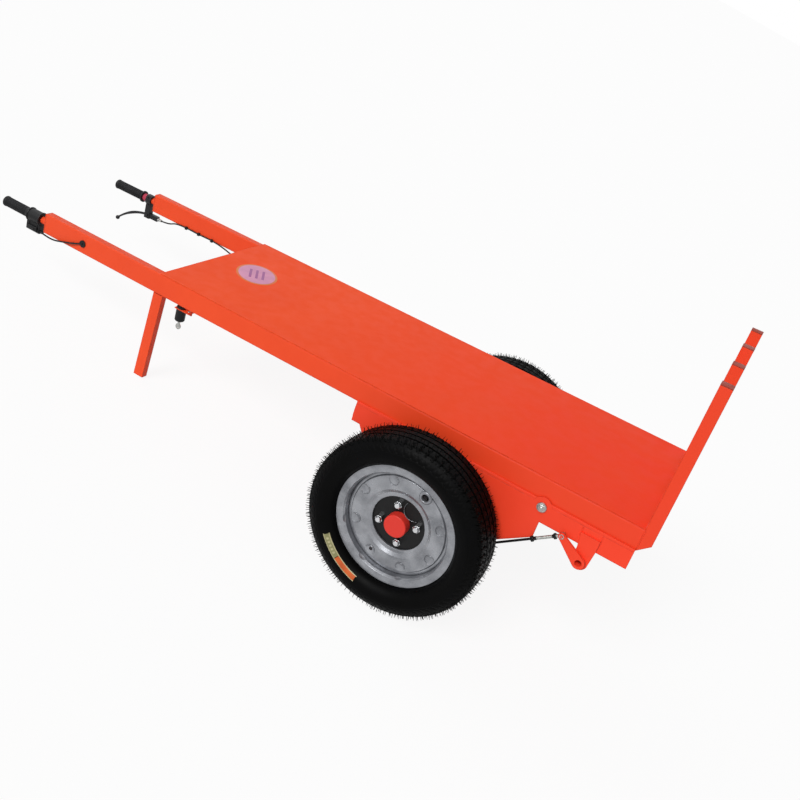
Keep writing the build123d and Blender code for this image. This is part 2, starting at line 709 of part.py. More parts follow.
half_shaft = round_y(0, 0, shaft_radius, at(shaft_overhang), -shaft_inner)
half_shaft = half_shaft + round_y(0, 0, hub_flange_radius, at(0), at(-hub_flange_thickness))
nut_body = []
drum_holes = Part()
for k in range(stud_count):
    angle = math.radians(stud_angle + k * 360 / stud_count)
    x, z = stud_circle * math.cos(angle), stud_circle * math.sin(angle)
    stud = round_y(x, z, stud_radius, at(drum_web + stud_length), at(-1))
    half_shaft = half_shaft + stud
    drum_holes = drum_holes + round_y(x, z, stud_radius, at(drum_web + 1), at(-1))
    nut = Pos(x, at(drum_web + nut_height / 2), z) * Rot(90, 0, 0) * extrude(
        RegularPolygon(nut_across / 2, 6, major_radius=False), nut_height / 2, both=True)
    dome_base = at(drum_web + nut_height)
    dome = Pos(x, dome_base, z) * Sphere(nut_across * 0.47)
    dome = dome & round_y(x, z, nut_across * 0.47, dome_base - nut_dome, dome_base)
    nut = nut + dome - stud
    nut_body.append(nut)
pieces["half_shaft_right"] = half_shaft
pieces["half_shaft_left"] = mirrored(half_shaft)
pieces["stud_nuts_right"] = nut_body
pieces["stud_nuts_left"] = [mirrored(nut) for nut in nut_body]

drum_open = -(back_face - drum_gap + half_track)
drum = round_y(0, 0, drum_radius, at(drum_web), at(drum_open))
drum = drum - round_y(0, 0, drum_radius - drum_wall, at(0), at(drum_open) + 1)
drum = drum - round_y(0, 0, shaft_radius, at(drum_web + 1), at(-1)) - drum_holes
angle = math.radians(stud_angle - 180 / stud_count)
drum = drum - round_y(adjuster_hole_circle * math.cos(angle), adjuster_hole_circle * math.sin(angle),
                      adjuster_hole_radius, at(drum_web + 1), at(drum_web - adjuster_hole_depth))
pieces["hub_drum_right"] = drum
pieces["hub_drum_left"] = mirrored(drum)

cap = round_y(0, 0, cap_radius, at(drum_web + cap_height), at(drum_web))
cap = fillet(cap.edges().group_by(Axis.Y)[0], 3)
cap = cap - round_y(0, 0, cap_radius - cap_wall, at(drum_web + cap_height - cap_wall), at(drum_web) + 1)
pieces["hub_cap_right"] = cap
pieces["hub_cap_left"] = mirrored(cap)

back_plate = round_y(0, 0, back_plate_radius, back_face, flange_face)
back_plate = back_plate - round_y(0, 0, shaft_radius + 4, back_face - 1, flange_face + 1)
heading = math.radians(rod_heading)
cam_x = rod_end_x - cam_arm_length * math.sin(heading)
cam_z = rod_end_z + cam_arm_length * math.cos(heading)
cam_angle = math.degrees(math.atan2(cam_z, cam_x))
cam_reach = math.hypot(cam_x, cam_z)
shoe_outer = drum_radius - drum_wall - shoe_gap
shoe_start = back_face - shoe_clearance
shoe_end = shoe_start - shoe_width
anchor_reach = shoe_outer - shoe_depth / 2
anchor = round_y(-anchor_reach * cam_x / cam_reach, -anchor_reach * cam_z / cam_reach, anchor_radius,
                 shoe_end, back_face)
back_plate = back_plate + anchor - round_y(cam_x, cam_z, cam_radius + shaft_clearance, back_face - 1, flange_face + 1)
pieces["brake_back_plates"] = [back_plate, mirrored(back_plate)]

ring = round_y(0, 0, shoe_outer, shoe_end, shoe_start) - round_y(0, 0, shoe_outer - shoe_depth, shoe_end - 1, 0)
keep = Pos(0, 0, 0) * Rot(0, -cam_angle, 0) * block(-200, 200, -half_track, 0, shoe_gap_half, 200)
upper = ring & keep
keep = Pos(0, 0, 0) * Rot(0, -cam_angle, 0) * block(-200, 200, -half_track, 0, -200, -shoe_gap_half)
lower = ring & keep
pieces["brake_shoes"] = [upper, lower, mirrored(upper), mirrored(lower)]

# rim, tyre, valve
flange_in = rim_half_width - rim_flange_thickness
outer_line = [(-rim_half_width, rim_flange_radius), (-flange_in, rim_flange_radius), (-flange_in, bead_radius + 4),
              (-flange_in + 4.5, bead_radius), (-24, bead_radius - 1), (-17, well_radius), (-1, well_radius),
              (6, bead_radius - 1), (flange_in - 4.5, bead_radius), (flange_in, bead_radius + 4),
              (flange_in, rim_flange_radius), (rim_half_width, rim_flange_radius)]
seat = bead_radius - 1 - rim_wall
inner_line = [(rim_half_width, bead_radius + 1), (flange_in - 2.5, bead_radius - rim_wall - 0.5), (7.5, seat),
              (0.5, well_radius - rim_wall), (-18.5, well_radius - rim_wall), (-25.5, seat),
              (-flange_in + 2.5, bead_radius - rim_wall - 0.5), (-rim_half_width, bead_radius + 1)]
barrel = spun(outer_line + inner_line, mid_plane)
seat_face = drum_web + disc_wall
disc_line = [(8.5, seat + 1), (9.0, seat - 4), (disc_face, disc_ring_outer), (disc_face, disc_ring_inner),
             (seat_face, drum_radius), (seat_face, disc_bore), (drum_web, disc_bore), (drum_web, drum_radius + 2),
             (disc_face - disc_wall, disc_ring_inner + 1), (disc_face - disc_wall, disc_ring_outer - 1.5),
             (5.0, seat - 6), (4.5, seat + 1)]
rim = barrel + spun(disc_line, mid_plane)
valve_turn = math.radians(valve_angle)
for k in range(dimple_count):
    angle = valve_turn + k * 2 * math.pi / dimple_count
    x, z = dimple_radius * math.cos(angle), dimple_radius * math.sin(angle)
    if k > 0:
        rim = rim - Pos(x, at(disc_face + dimple_ball - dimple_depth), z) * Sphere(dimple_ball)
    if k == dimple_count // 2:
        rim = rim - round_y(x, z, balance_hole_radius, at(disc_face + 1), at(0))
radial = Vector(math.cos(valve_turn), 0, math.sin(valve_turn))
valve_root = radial * valve_root_radius + Vector(0, at(valve_root_offset), 0)
valve_tip = radial * valve_tip_radius + Vector(0, at(valve_tip_offset), 0)
valve_plane = Plane(origin=valve_root, z_dir=valve_tip - valve_root)
valve_length = (valve_tip - valve_root).length
valve = Cylinder(valve_radius, valve_length, align=low)
valve = valve + Pos(0, 0, valve_length * 0.78) * Cylinder(valve_radius + valve_cap, valve_length * 0.22, align=low)
valve = valve_plane * valve
lip_place = Pos(dimple_radius * math.cos(valve_turn), at(disc_face), dimple_radius * math.sin(valve_turn))
rim = rim + lip_place * Rot(90, 0, 0) * Torus(valve_lip_radius, valve_lip_wire)
rim = rim - lip_place * Rot(90, 0, 0) * Cylinder(valve_hole_radius, 4 * disc_wall)
rim = rim - valve
pieces["wheel_rim_right"] = rim
pieces["wheel_rim_left"] = mirrored(rim)
pieces["valve_stem_right"] = valve
pieces["valve_stem_left"] = mirrored(valve)

shoulder = tyre_radius - tread_drop
bead_out = flange_in - 0.3
toe = bead_out - 10
wall_mid = (rim_flange_radius + tyre_radius) / 2 - 5


def tyre_point(o, r):
    return Vector(r, at(o), 0)


def tyre_side(s):
    outer_side = [
        Line(tyre_point(s * toe, bead_radius + 0.3), tyre_point(s * (bead_out - 4), bead_radius + 0.3)),
        Line(tyre_point(s * (bead_out - 4), bead_radius + 0.3), tyre_point(s * bead_out, bead_radius + 5)),
        Line(tyre_point(s * bead_out, bead_radius + 5), tyre_point(s * bead_out, rim_flange_radius + 1)),
        ThreePointArc(tyre_point(s * bead_out, rim_flange_radius + 1),
                      tyre_point(s * (tyre_half_width - 9), rim_flange_radius + 13),
                      tyre_point(s * tyre_half_width, wall_mid)),
        ThreePointArc(tyre_point(s * tyre_half_width, wall_mid),
                      tyre_point(s * (tyre_half_width - 2), (wall_mid + shoulder) / 2),
                      tyre_point(s * (tread_half_width + 10), shoulder - 8)),
        ThreePointArc(tyre_point(s * (tread_half_width + 10), shoulder - 8),
                      tyre_point(s * (tread_half_width + 6), shoulder - 2.5),
                      tyre_point(s * tread_half_width, shoulder)),
    ]
    inner_side = [
        Line(tyre_point(s * toe, bead_radius + 0.3), tyre_point(s * toe, bead_radius + 12)),
        ThreePointArc(tyre_point(s * toe, bead_radius + 12),
                      tyre_point(s * (tyre_half_width - 18), rim_flange_radius + 20),
                      tyre_point(s * (tyre_half_width - 9), wall_mid)),
        ThreePointArc(tyre_point(s * (tyre_half_width - 9), wall_mid),
                      tyre_point(s * (tyre_half_width - 11), (wall_mid + shoulder) / 2 - 3),
                      tyre_point(s * (tread_half_width - 2), shoulder - 11)),
    ]
    return outer_side, inner_side


right_outer, right_inner = tyre_side(1)
left_outer, left_inner = tyre_side(-1)
crown = ThreePointArc(tyre_point(tread_half_width, shoulder), tyre_point(0, tyre_radius),
                      tyre_point(-tread_half_width, shoulder))
liner = ThreePointArc(tyre_point(tread_half_width - 2, shoulder - 11), tyre_point(0, tyre_radius - 11),
                      tyre_point(-tread_half_width + 2, shoulder - 11))
tyre_face = Face(Wire(right_outer + [crown] + left_outer + left_inner + [liner] + right_inner))
tyre = Part() + revolve(tyre_face, axis=Axis.Y)
for k in (-1, 0, 1):
    o = k * groove_pitch
    band = round_y(0, 0, tyre_radius + 2, at(o + groove_width / 2), at(o - groove_width / 2))
    band = band - round_y(0, 0, tyre_radius - groove_depth, at(o + groove_width), at(o - groove_width))
    tyre = tyre - band
pieces["tyre_right"] = tyre
pieces["tyre_left"] = mirrored(tyre)

# brake cross shaft with its arms, lobe brackets, rods and cam levers
lobe_top = cross_z + lobe_rise
lobe = side_plate([(cross_x - lobe_rear, lobe_top), (cross_x + lobe_front, lobe_top),
                   (cross_x + lobe_front, strip_bottom), (cross_x + lobe_radius, cross_z),
                   (cross_x - lobe_radius, cross_z), (cross_x - lobe_radius + 2, strip_bottom - 8)],
                  -lobe_outer, -side_outer)
lobe = lobe + round_y(cross_x, cross_z, lobe_radius, -lobe_outer, -side_outer)
lobe = lobe - round_y(cross_x, cross_z, cross_radius + shaft_clearance, -lobe_outer - 1, -side_outer + 1)
pieces["shaft_brackets"] = [lobe, mirrored(lobe)]

arm = pill(cross_x, cross_z, cross_radius + 2, arm_x, arm_z, arm_tip_radius, -arm_outer, -arm_inner)
arm_pin = round_y(arm_x, arm_z, eye_pin_radius, -arm_outer - 3, -side_outer - 1)
shaft = round_y(cross_x, cross_z, cross_radius, -arm_outer, arm_outer)
pull_arm = pill(cross_x, cross_z, cross_radius + 2, cross_x - pull_arm_length * 0.35,
                cross_z + pull_arm_length, arm_tip_radius, pull_arm_y - arm_thickness / 2,
                pull_arm_y + arm_thickness / 2)
pull_arm = pull_arm - round_y(cross_x - pull_arm_length * 0.35, cross_z + pull_arm_length, 4,
                              pull_arm_y - 10, pull_arm_y + 10)
shaft = shaft + arm + arm_pin + mirrored(arm) + mirrored(arm_pin) + pull_arm
shaft = shaft - round_y(cross_x, cross_z, cross_bore, -arm_outer - 5, arm_outer + 5)
pieces["brake_cross_shaft"] = shaft

eye_y0 = -arm_inner + 0.5
eye_y1 = eye_y0 + eye_thickness
rod_y = eye_y0 + eye_thickness / 2
direction = Vector(-math.cos(heading), 0, -math.sin(heading))


def along_rod(distance, shape):
    origin = Vector(arm_x, rod_y, arm_z) + direction * distance
    return Plane(origin=origin, x_dir=Vector(0, 1, 0), z_dir=direction) * shape


def rod_nut(distance):
    nut = extrude(RegularPolygon(rod_nut_across / 2, 6, major_radius=False, rotation=30), rod_nut_length)
    return along_rod(distance, nut - Cylinder(rod_radius, rod_nut_length * 3))


eye = round_y(arm_x, arm_z, eye_radius, eye_y0, eye_y1)
neck_length = 2.2 * eye_radius
stem = along_rod(0, Box(eye_thickness, eye_radius, neck_length, align=low))
rod = along_rod(neck_length - 2, Cylinder(rod_radius, rod_length + rod_tail - neck_length + 2, align=low))
eye = eye + stem + rod - round_y(arm_x, arm_z, eye_pin_radius + shaft_clearance, eye_y0 - 9, eye_y1 + 9)
nut_near = rod_nut(neck_length)
nut_mid = rod_nut(neck_length + 52)
nut_far = rod_nut(rod_length + tab_thickness / 2 + 1)
pieces["brake_rod_right"] = [eye, nut_near, nut_mid, nut_far]
pieces["brake_rod_left"] = [mirrored(shape) for shape in (eye, nut_near, nut_mid, nut_far)]

cam_arm_y1 = flange_face + cam_arm_gap + cam_arm_thickness
cam_arm_y0 = cam_arm_y1 - cam_arm_thickness
cam_lever = pill(cam_x, cam_z, cam_arm_width / 2 + 2, rod_end_x, rod_end_z, cam_arm_width / 2, cam_arm_y0, cam_arm_y1)
cam_lever = cam_lever + round_y(cam_x, cam_z, cam_radius, shoe_end, cam_arm_y0 + 1)
cam_turn = Pos(cam_x, 0, cam_z) * Rot(0, -cam_angle, 0)
cam_lever = cam_lever + cam_turn * block(-cam_block_half, cam_block_half, shoe_end, shoe_start - 1,
                                         -cam_block, cam_block)
tab_inner = rod_y + tab_hole_radius + 3
tab_span = tab_inner - cam_arm_y0
tab_place = Plane(origin=Vector(rod_end_x, (tab_inner + cam_arm_y0) / 2, rod_end_z), x_dir=Vector(0, 1, 0),
                  z_dir=direction)
tab = tab_place * Box(tab_span, 2 * tab_half_height, tab_thickness)
cam_lever = cam_lever + tab
cam_lever = cam_lever - along_rod(rod_length - 30, Cylinder(tab_hole_radius, 60, align=low))
pieces["cam_lever_right"] = cam_lever
pieces["cam_lever_left"] = mirrored(cam_lever)

# stand the cart on its tyres and legs
foot_rear_x = leg_x - half_leg - leg_rake
foot_reach = math.hypot(foot_rear_x, foot_z)
foot_angle = math.atan2(foot_z, foot_rear_x)
pitch = math.degrees(-math.pi + math.asin(tyre_radius / foot_reach) - foot_angle)
stand = Pos(0, 0, tyre_radius) * Rot(0, -pitch, 0)

placed = {}
low_x, high_x = 1e9, -1e9
for name, shape in pieces.items():
    solids = shape if isinstance(shape, list) else [shape]
    made = []
    for item in solids:
        for solid in item.solids():
            made.append(stand * solid)
    placed[name] = made
    for solid in made:
        box = solid.bounding_box()
        low_x = min(low_x, box.min.X)
        high_x = max(high_x, box.max.X)
centre_shift = Pos(-(low_x + high_x) / 2, 0, 0)

for name, made in placed.items():
    moved = [centre_shift * solid for solid in made]
    export_step(Compound(children=moved) if len(moved) > 1 else moved[0], "parts/" + name + ".step")


def report_place(label, x, y, z):
    spot = (centre_shift * stand * Pos(x, y, z)).position
    print("place", label, round(spot.X, 3), round(spot.Y, 3), round(spot.Z, 3))


print("pieces", len(placed), "pitch", round(pitch, 4), "shift", round(-(low_x + high_x) / 2, 3))
report_place("axle", 0, 0, 0)
report_place("pivot", pivot_x, -side_outer, pivot_z)
report_place("bar", bar_end, -rail_y, rail_z)
report_place("lever", lever_x, rail_y, lever_z)
report_place("key", key_x, -rail_y, body_low)
report_place("cross", cross_x, 0, cross_z)
report_place("arm_pin", arm_x, -side_outer, arm_z)
report_place("rod_end", rod_end_x, rod_y, rod_end_z)
report_place("cam", cam_x, back_face, cam_z)
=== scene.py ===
import json
import math
import random

import bmesh
import bpy
from mathutils import Matrix, Vector


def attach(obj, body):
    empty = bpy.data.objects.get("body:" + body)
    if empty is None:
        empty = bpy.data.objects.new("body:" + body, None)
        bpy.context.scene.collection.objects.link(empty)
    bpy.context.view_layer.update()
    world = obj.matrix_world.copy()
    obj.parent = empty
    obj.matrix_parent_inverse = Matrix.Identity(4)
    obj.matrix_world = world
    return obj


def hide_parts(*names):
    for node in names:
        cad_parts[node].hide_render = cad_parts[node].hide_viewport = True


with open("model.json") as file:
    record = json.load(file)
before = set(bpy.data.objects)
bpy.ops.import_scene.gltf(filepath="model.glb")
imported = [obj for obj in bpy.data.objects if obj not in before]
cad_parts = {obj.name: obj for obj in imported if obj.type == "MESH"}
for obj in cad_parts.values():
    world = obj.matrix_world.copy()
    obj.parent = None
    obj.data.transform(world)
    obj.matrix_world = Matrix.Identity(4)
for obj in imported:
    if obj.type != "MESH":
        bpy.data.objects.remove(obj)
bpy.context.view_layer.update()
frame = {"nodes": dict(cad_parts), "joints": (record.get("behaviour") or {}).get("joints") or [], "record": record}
nodes = frame["nodes"]
joints = {joint["name"]: joint for joint in frame["joints"]}
slots = {part["node"]: part["material_slot"] for part in frame["record"]["subparts"]}

# Shapes are drawn in the cart's own deck frame, in millimetres: X forward along the rails, Y to the
# operator's left, Z square to the deck, with the origin on the wheel axle.
MM = 0.001
RIGHT, LEFT = -1, 1
SIDES = {"right": RIGHT, "left": LEFT}
forward = Vector(joints["throttle_twist"]["axis"]).normalized()
leftward = Vector((0, 1, 0))
upward = forward.cross(leftward)
axle = Vector(joints["wheel_right_spin"]["pos_m"])
axle.y = 0
axes = Matrix((forward, leftward, upward)).transposed().to_4x4()
deck_frame = Matrix.Translation(axle) @ axes @ Matrix.Scale(MM, 4)
to_deck = deck_frame.inverted()


def deck_box(node):
    """The lowest and highest corner of a CAD node in the deck frame, in millimetres."""
    places = [to_deck @ vertex.co for vertex in nodes[node].data.vertices]
    low = Vector([min(place[axis] for place in places) for axis in range(3)])
    high = Vector([max(place[axis] for place in places) for axis in range(3)])
    return low, high


def joint_place(name):
    return to_deck @ Vector(joints[name]["pos_m"])


rail_low, rail_high = deck_box("rail_right")
sheet_low, sheet_high = deck_box("deck_sheet")
half_deck = sheet_high.y
rail_width = rail_high.y - rail_low.y
rail_y = half_deck - rail_width / 2
rail_inner = half_deck - rail_width
rail_bottom, rail_top = rail_low.z, rail_high.z
bar_z = (rail_bottom + rail_top) / 2
sheet_top = sheet_high.z
deck_front, deck_rear = sheet_high.x, sheet_low.x
rail_rear = rail_low.x
tyre_low, tyre_high = deck_box("tyre_right")
tyre_radius = (tyre_high.x - tyre_low.x) / 2
tyre_half = (tyre_high.y - tyre_low.y) / 2
half_track = -(tyre_high.y + tyre_low.y) / 2
rim_low, rim_high = deck_box("wheel_rim_right")
rim_radius = (rim_high.x - rim_low.x) / 2
rim_half = (rim_high.y - rim_low.y) / 2


# materials

def linear(code):
    """A colour written as sRGB hex, in the linear light that a shader takes."""
    values = [int(code[place:place + 2], 16) / 255 for place in (1, 3, 5)]
    return [v / 12.92 if v <= 0.04045 else ((v + 0.055) / 1.055) ** 2.4 for v in values] + [1.0]


def add(tree, kind, links=None, **settings):
    """One node with its settings; a socket takes a value, or the output that is linked to it."""
    node = tree.nodes.new(kind)
    for name, value in settings.items():
        setattr(node, name, value)
    for socket, value in (links or {}).items():
        if isinstance(value, bpy.types.NodeSocket):
            tree.links.new(value, node.inputs[socket])
        else:
            node.inputs[socket].default_value = value
    return node


def per(size):
    """A texture's scale for a pattern whose real size is given in millimetres."""
    return 1 / (size * MM)


def begin(name):
    material = bpy.data.materials.new(name)
    material.use_nodes = True
    material.node_tree.nodes.clear()
    tree = material.node_tree
    place = add(tree, "ShaderNodeTexCoord").outputs["Object"]
    return material, tree, place


def end(tree, shader):
    add(tree, "ShaderNodeOutputMaterial", {"Surface": shader.outputs[0]})


def spread(tree, value, low, high, out_low=0.0, out_high=1.0):
    """A value's range, stretched over the range that is asked for."""
    node = add(tree, "ShaderNodeMapRange", {"Value": value, "From Min": low, "From Max": high,
                                            "To Min": out_low, "To Max": out_high})
    return node.outputs["Result"]


def cloud(tree, place, size, detail=3.0):
    """Fractal noise of one real size."""
    links = {"Vector": place, "Scale": per(size), "Detail": detail}
    return add(tree, "ShaderNodeTexNoise", links).outputs["Fac"]


def noise(tree, place, size, low=0.35, high=0.65, out_low=0.0, out_high=1.0):
    """Cloudy variation of one real size, spread over the range that is asked for."""
    return spread(tree, cloud(tree, place, size), low, high, out_low, out_high)


def blend_colour(tree, share, first, second):
    return add(tree, "ShaderNodeMix", {0: share, 6: first, 7: second}, data_type="RGBA").outputs[2]


def combined(tree, operation, first, second):
    return add(tree, "ShaderNodeMath", {0: first, 1: second}, operation=operation).outputs[0]


def edge_share(tree, radius, near=0.985, far=0.86):
    """How close a point is to an outside or inside edge, from 0 on a flat to 1, and the rounded normal."""
    bevel = add(tree, "ShaderNodeBevel", {"Radius": radius * MM}, samples=6)
    facing = add(tree, "ShaderNodeNewGeometry").outputs["Normal"]
    match = add(tree, "ShaderNodeVectorMath", {0: bevel.outputs[0], 1: facing}, operation="DOT_PRODUCT")
    return spread(tree, match.outputs["Value"], near, far), bevel.outputs[0]


def relief(tree, height, strength, depth, **under):
    """A bump of one real depth, over the plain normal or the one that is given."""
    links = {"Height": height, "Strength": strength, "Distance": depth * MM, **under}
    return add(tree, "ShaderNodeBump", links).outputs[0]


def surface(tree, colour, roughness, normal, **levels):
    """The shader of a finish, with the levels that only some finishes set."""
    names = {"ior": "IOR", "sheen": "Specular IOR Level", "metallic": "Metallic"}
    links = {"Base Color": colour, "Roughness": roughness, "Normal": normal}
    links.update({names[key]: level for key, level in levels.items()})
    end(tree, add(tree, "ShaderNodeBsdfPrincipled", links))


def powder_coat(name, rear, front, shade, rub, sheen=0.2):
    """Baked powder coat on welded steel: orange with slight orange peel, a little redder towards the front,
    cloudy where the coat is thicker, and darker where edges and welds have been rubbed and it runs thin."""
    coat_patch, coat_mottle, peel, rub_patch, rub_radius = 260, 34, 2.2, 22, 2.6
    red_from, red_to = -0.1, 0.95
    material, tree, place = begin(name)
    along = add(tree, "ShaderNodeSeparateXYZ", {"Vector": place}).outputs["X"]
    base = blend_colour(tree, spread(tree, along, red_from, red_to), linear(rear), linear(front))
    base = blend_colour(tree, noise(tree, place, coat_patch, out_high=0.45), base, linear(shade))
    base = blend_colour(tree, noise(tree, place, coat_mottle, out_high=0.16), base, linear(shade))
    edge, rounded = edge_share(tree, rub_radius)
    worn = combined(tree, "MULTIPLY", edge, noise(tree, place, rub_patch, out_low=0.15, out_high=0.8))
    base = blend_colour(tree, worn, base, linear(rub))
    skin = relief(tree, cloud(tree, place, peel, 1.0), 0.08, 0.2, Normal=rounded)
    gloss = noise(tree, place, coat_mottle, out_low=0.38, out_high=0.52)
    surface(tree, base, gloss, skin, ior=1.5, sheen=sheen)
    return material


def moulded_rubber(name, face, dust, gloss, sheen, grain=1.6):
    """Moulded rubber: near black, matt, with a fine grain from the mould and grey dust in its hollows."""
    dust_patch = 60
    material, tree, place = begin(name)
    base = blend_colour(tree, noise(tree, place, dust_patch, 0.45, 0.75), linear(face), linear(dust))
    skin = relief(tree, cloud(tree, place, grain, 2.0), 0.18, 0.25)
    shine = noise(tree, place, dust_patch, out_low=gloss, out_high=gloss + 0.14)
    surface(tree, base, shine, skin, ior=1.52, sheen=sheen)
    return material


def moulded_plastic(name, face, scuff, gloss):
    """Injection-moulded nylon: an even colour, a soft sheen, a fine texture and pale scuffed edges."""
    grain, scuff_patch, scuff_radius = 1.2, 14, 1.2
    material, tree, place = begin(name)
    edge, rounded = edge_share(tree, scuff_radius)
    worn = combined(tree, "MULTIPLY", edge, noise(tree, place, scuff_patch, out_high=0.6))
    base = blend_colour(tree, worn, linear(face), linear(scuff))
    skin = relief(tree, cloud(tree, place, grain, 1.0), 0.12, 0.15, Normal=rounded)
    shine = noise(tree, place, scuff_patch, out_low=gloss, out_high=gloss + 0.12)
    surface(tree, base, shine, skin, ior=1.46, sheen=0.3)
    return material


def plated_steel(name, face, dull, gloss, crystal=9):
    """Zinc-plated or chromed steel: a metal with cloudy crystal patches that are a little duller."""
    material, tree, place = begin(name)
    flake = add(tree, "ShaderNodeTexVoronoi", {"Vector": place, "Scale": per(crystal)})
    share = spread(tree, flake.outputs["Distance"], 0.0, 0.9, 0.0, 0.6)
    base = blend_colour(tree, share, linear(face), linear(dull))
    edge, rounded = edge_share(tree, 0.8)
    base = blend_colour(tree, edge, base, linear(face))
    shine = noise(tree, place, crystal, out_low=gloss, out_high=gloss + 0.12)
    surface(tree, base, shine, rounded, metallic=1.0)
    return material


def rim_paint(name):
    """Silver wheel enamel on pressed steel: aluminium flake that gives soft bright streaks, cloudy patches of grey
    road film, and painted shade from ambient occlusion in the hollows and along the folds."""
    flake_size, film_patch, shade_reach, fold_radius = 1.5, 55, 6, 1.5
    material, tree, place = begin(name)
    base = blend_colour(tree, noise(tree, place, film_patch), linear("#96989D"), linear("#6E7075"))
    speck = cloud(tree, place, flake_size, 1.0)
    base = blend_colour(tree, spread(tree, speck, 0.4, 0.7, 0.0, 0.25), base, linear("#C2C3C7"))
    rounded = edge_share(tree, fold_radius)[1]
    # painted shade: where ambient occlusion finds a hollow or a fold, the enamel is darkened towards #55565A
    film = add(tree, "ShaderNodeAmbientOcclusion", {"Distance": shade_reach * MM}, samples=6)
    painted_shade_share = spread(tree, film.outputs["AO"], 0.3, 0.75, 0.8, 0.0)
    base = blend_colour(tree, painted_shade_share, base, linear("#55565A"))
    shine = noise(tree, place, film_patch, out_low=0.26, out_high=0.38)
    surface(tree, base, shine, relief(tree, speck, 0.05, 0.1, Normal=rounded), metallic=0.65)
    return material


def cast_metal(name, face, dull, metallic, gloss, grit=2.4):
    """Sand-cast metal, bare or painted: a gritty skin with blotches."""
    blotch, edge_radius = 26, 1.4
    material, tree, place = begin(name)
    base = blend_colour(tree, noise(tree, place, blotch), linear(face), linear(dull))
    edge, rounded = edge_share(tree, edge_radius)
    base = blend_colour(tree, edge, base, linear(dull))
    skin = relief(tree, cloud(tree, place, grit, 4.0), 0.3, 0.4, Normal=rounded)
    surface(tree, base, gloss, skin, metallic=metallic, sheen=0.25)
    return material


def printed_film(name, face, faded):
    """Printed vinyl film: an even ink with a slight fade and a soft gloss."""
    fade_patch, weave, gloss = 30, 1.5, 0.35
    material, tree, place = begin(name)
    base = blend_colour(tree, noise(tree, place, fade_patch), linear(face), linear(faded))
    skin = relief(tree, cloud(tree, place, weave, 1.0), 0.06, 0.1)
    surface(tree, base, gloss, skin, ior=1.5, sheen=0.3)
    return material


def plain_floor(name):
    """A matt pale floor. The camera and polished metal see it almost white, with the shadow kept."""
    paper_grain, white_share = 4, 0.9
    material, tree, place = begin(name)
    grain = blend_colour(tree, noise(tree, place, paper_grain), linear("#F4F4F4"), linear("#EFEFEF"))
    matt = add(tree, "ShaderNodeBsdfDiffuse", {"Color": grain})
    glow = add(tree, "ShaderNodeEmission", {"Color": (1, 1, 1, 1), "Strength": 1.0})
    share = combined(tree, "MULTIPLY", seen_directly(tree), white_share)
    end(tree, add(tree, "ShaderNodeMixShader", {0: share, 1: matt.outputs[0], 2: glow.outputs[0]}))
    return material


def seen_directly(tree):
    """1 for what the camera sees, also in metal or through glass, and 0 for light on the object."""
    path = add(tree, "ShaderNodeLightPath")
    seen = combined(tree, "MAXIMUM", path.outputs["Is Camera Ray"], path.outputs["Is Glossy Ray"])
    return combined(tree, "MAXIMUM", seen, path.outputs["Is Transmission Ray"])


finishes = {
    "frame_paint": powder_coat("powder_coat_frame", "#EA4D23", "#EA4024", "#E04420", "#9E3018"),
    "chassis_paint": powder_coat("powder_coat_chassis", "#F04428", "#F44428", "#E83E24", "#962816"),
    "black_rubber": moulded_rubber("moulded_rubber_grip", "#161618", "#28282B", 0.52, 0.2),
    "black_plastic": moulded_plastic("moulded_nylon", "#0D0D0F", "#3A3A3D", 0.4),
    "zinc_steel": plated_steel("zinc_plated_steel", "#B9BAB6", "#8B8C8A", 0.3),
    "nut_chrome": plated_steel("chromed_steel", "#D8D9DB", "#B7B8BB", 0.12, 14),
    "rim_silver": rim_paint("wheel_enamel"),
    "tyre_rubber": moulded_rubber("tyre_rubber", "#010101", "#030304", 0.42, 0.05, 2.4),
    "drum_iron": cast_metal("painted_cast_iron", "#040405", "#0B0B0C", 0.0, 0.45),
    "cap_red": moulded_plastic("cap_plastic", "#D6352A", "#E2665A", 0.35),
    "axle_paint": cast_metal("black_enamel", "#0E0E10", "#1C1C1F", 0.0, 0.38, 1.5),
    "motor_aluminium": cast_metal("cast_aluminium", "#A6A8AB", "#84868A", 0.9, 0.42),
    "lining": cast_metal("brake_lining", "#4A3B31", "#2F2622", 0.0, 0.8),
}
sleeve_vinyl = moulded_plastic("dipped_vinyl", "#B23A50", "#D0708A", 0.4)
black_oxide = plated_steel("black_oxide_steel", "#2A2A2C", "#161617", 0.38, 5)
deck_coat = powder_coat("powder_coat_deck", "#F6562C", "#F03C24", "#EC4C26", "#A03218", 0.05)
# a darker copy of the frame's coat, which paints shade on the tine tops
shaded_end_coat = powder_coat("powder_coat_tube_end_painted_shade", "#A8381E", "#96301C", "#8A2C18", "#5E2014")

for node_name, node in nodes.items():
    node.data.materials.clear()
    node.data.materials.append(finishes[slots[node_name]])
nodes["deck_sheet"].data.materials[0] = deck_coat


# shapes

class Shape:
    """Points in millimetres and the faces between them, which functions build and join."""

    def __init__(self, points=(), faces=()):
        self.points = [Vector(point) for point in points]
        self.faces = [tuple(face) for face in faces]

    def __add__(self, other):
        start = len(self.points)
        return Shape(self.points + other.points,
                     self.faces + [tuple(index + start for index in face) for face in other.faces])

    def moved(self, matrix):
        return Shape([matrix @ point for point in self.points], self.faces)


def placed(name, data):
    """A new object in the scene."""
    made = bpy.data.objects.new(name, data)
    bpy.context.scene.collection.objects.link(made)
    return made


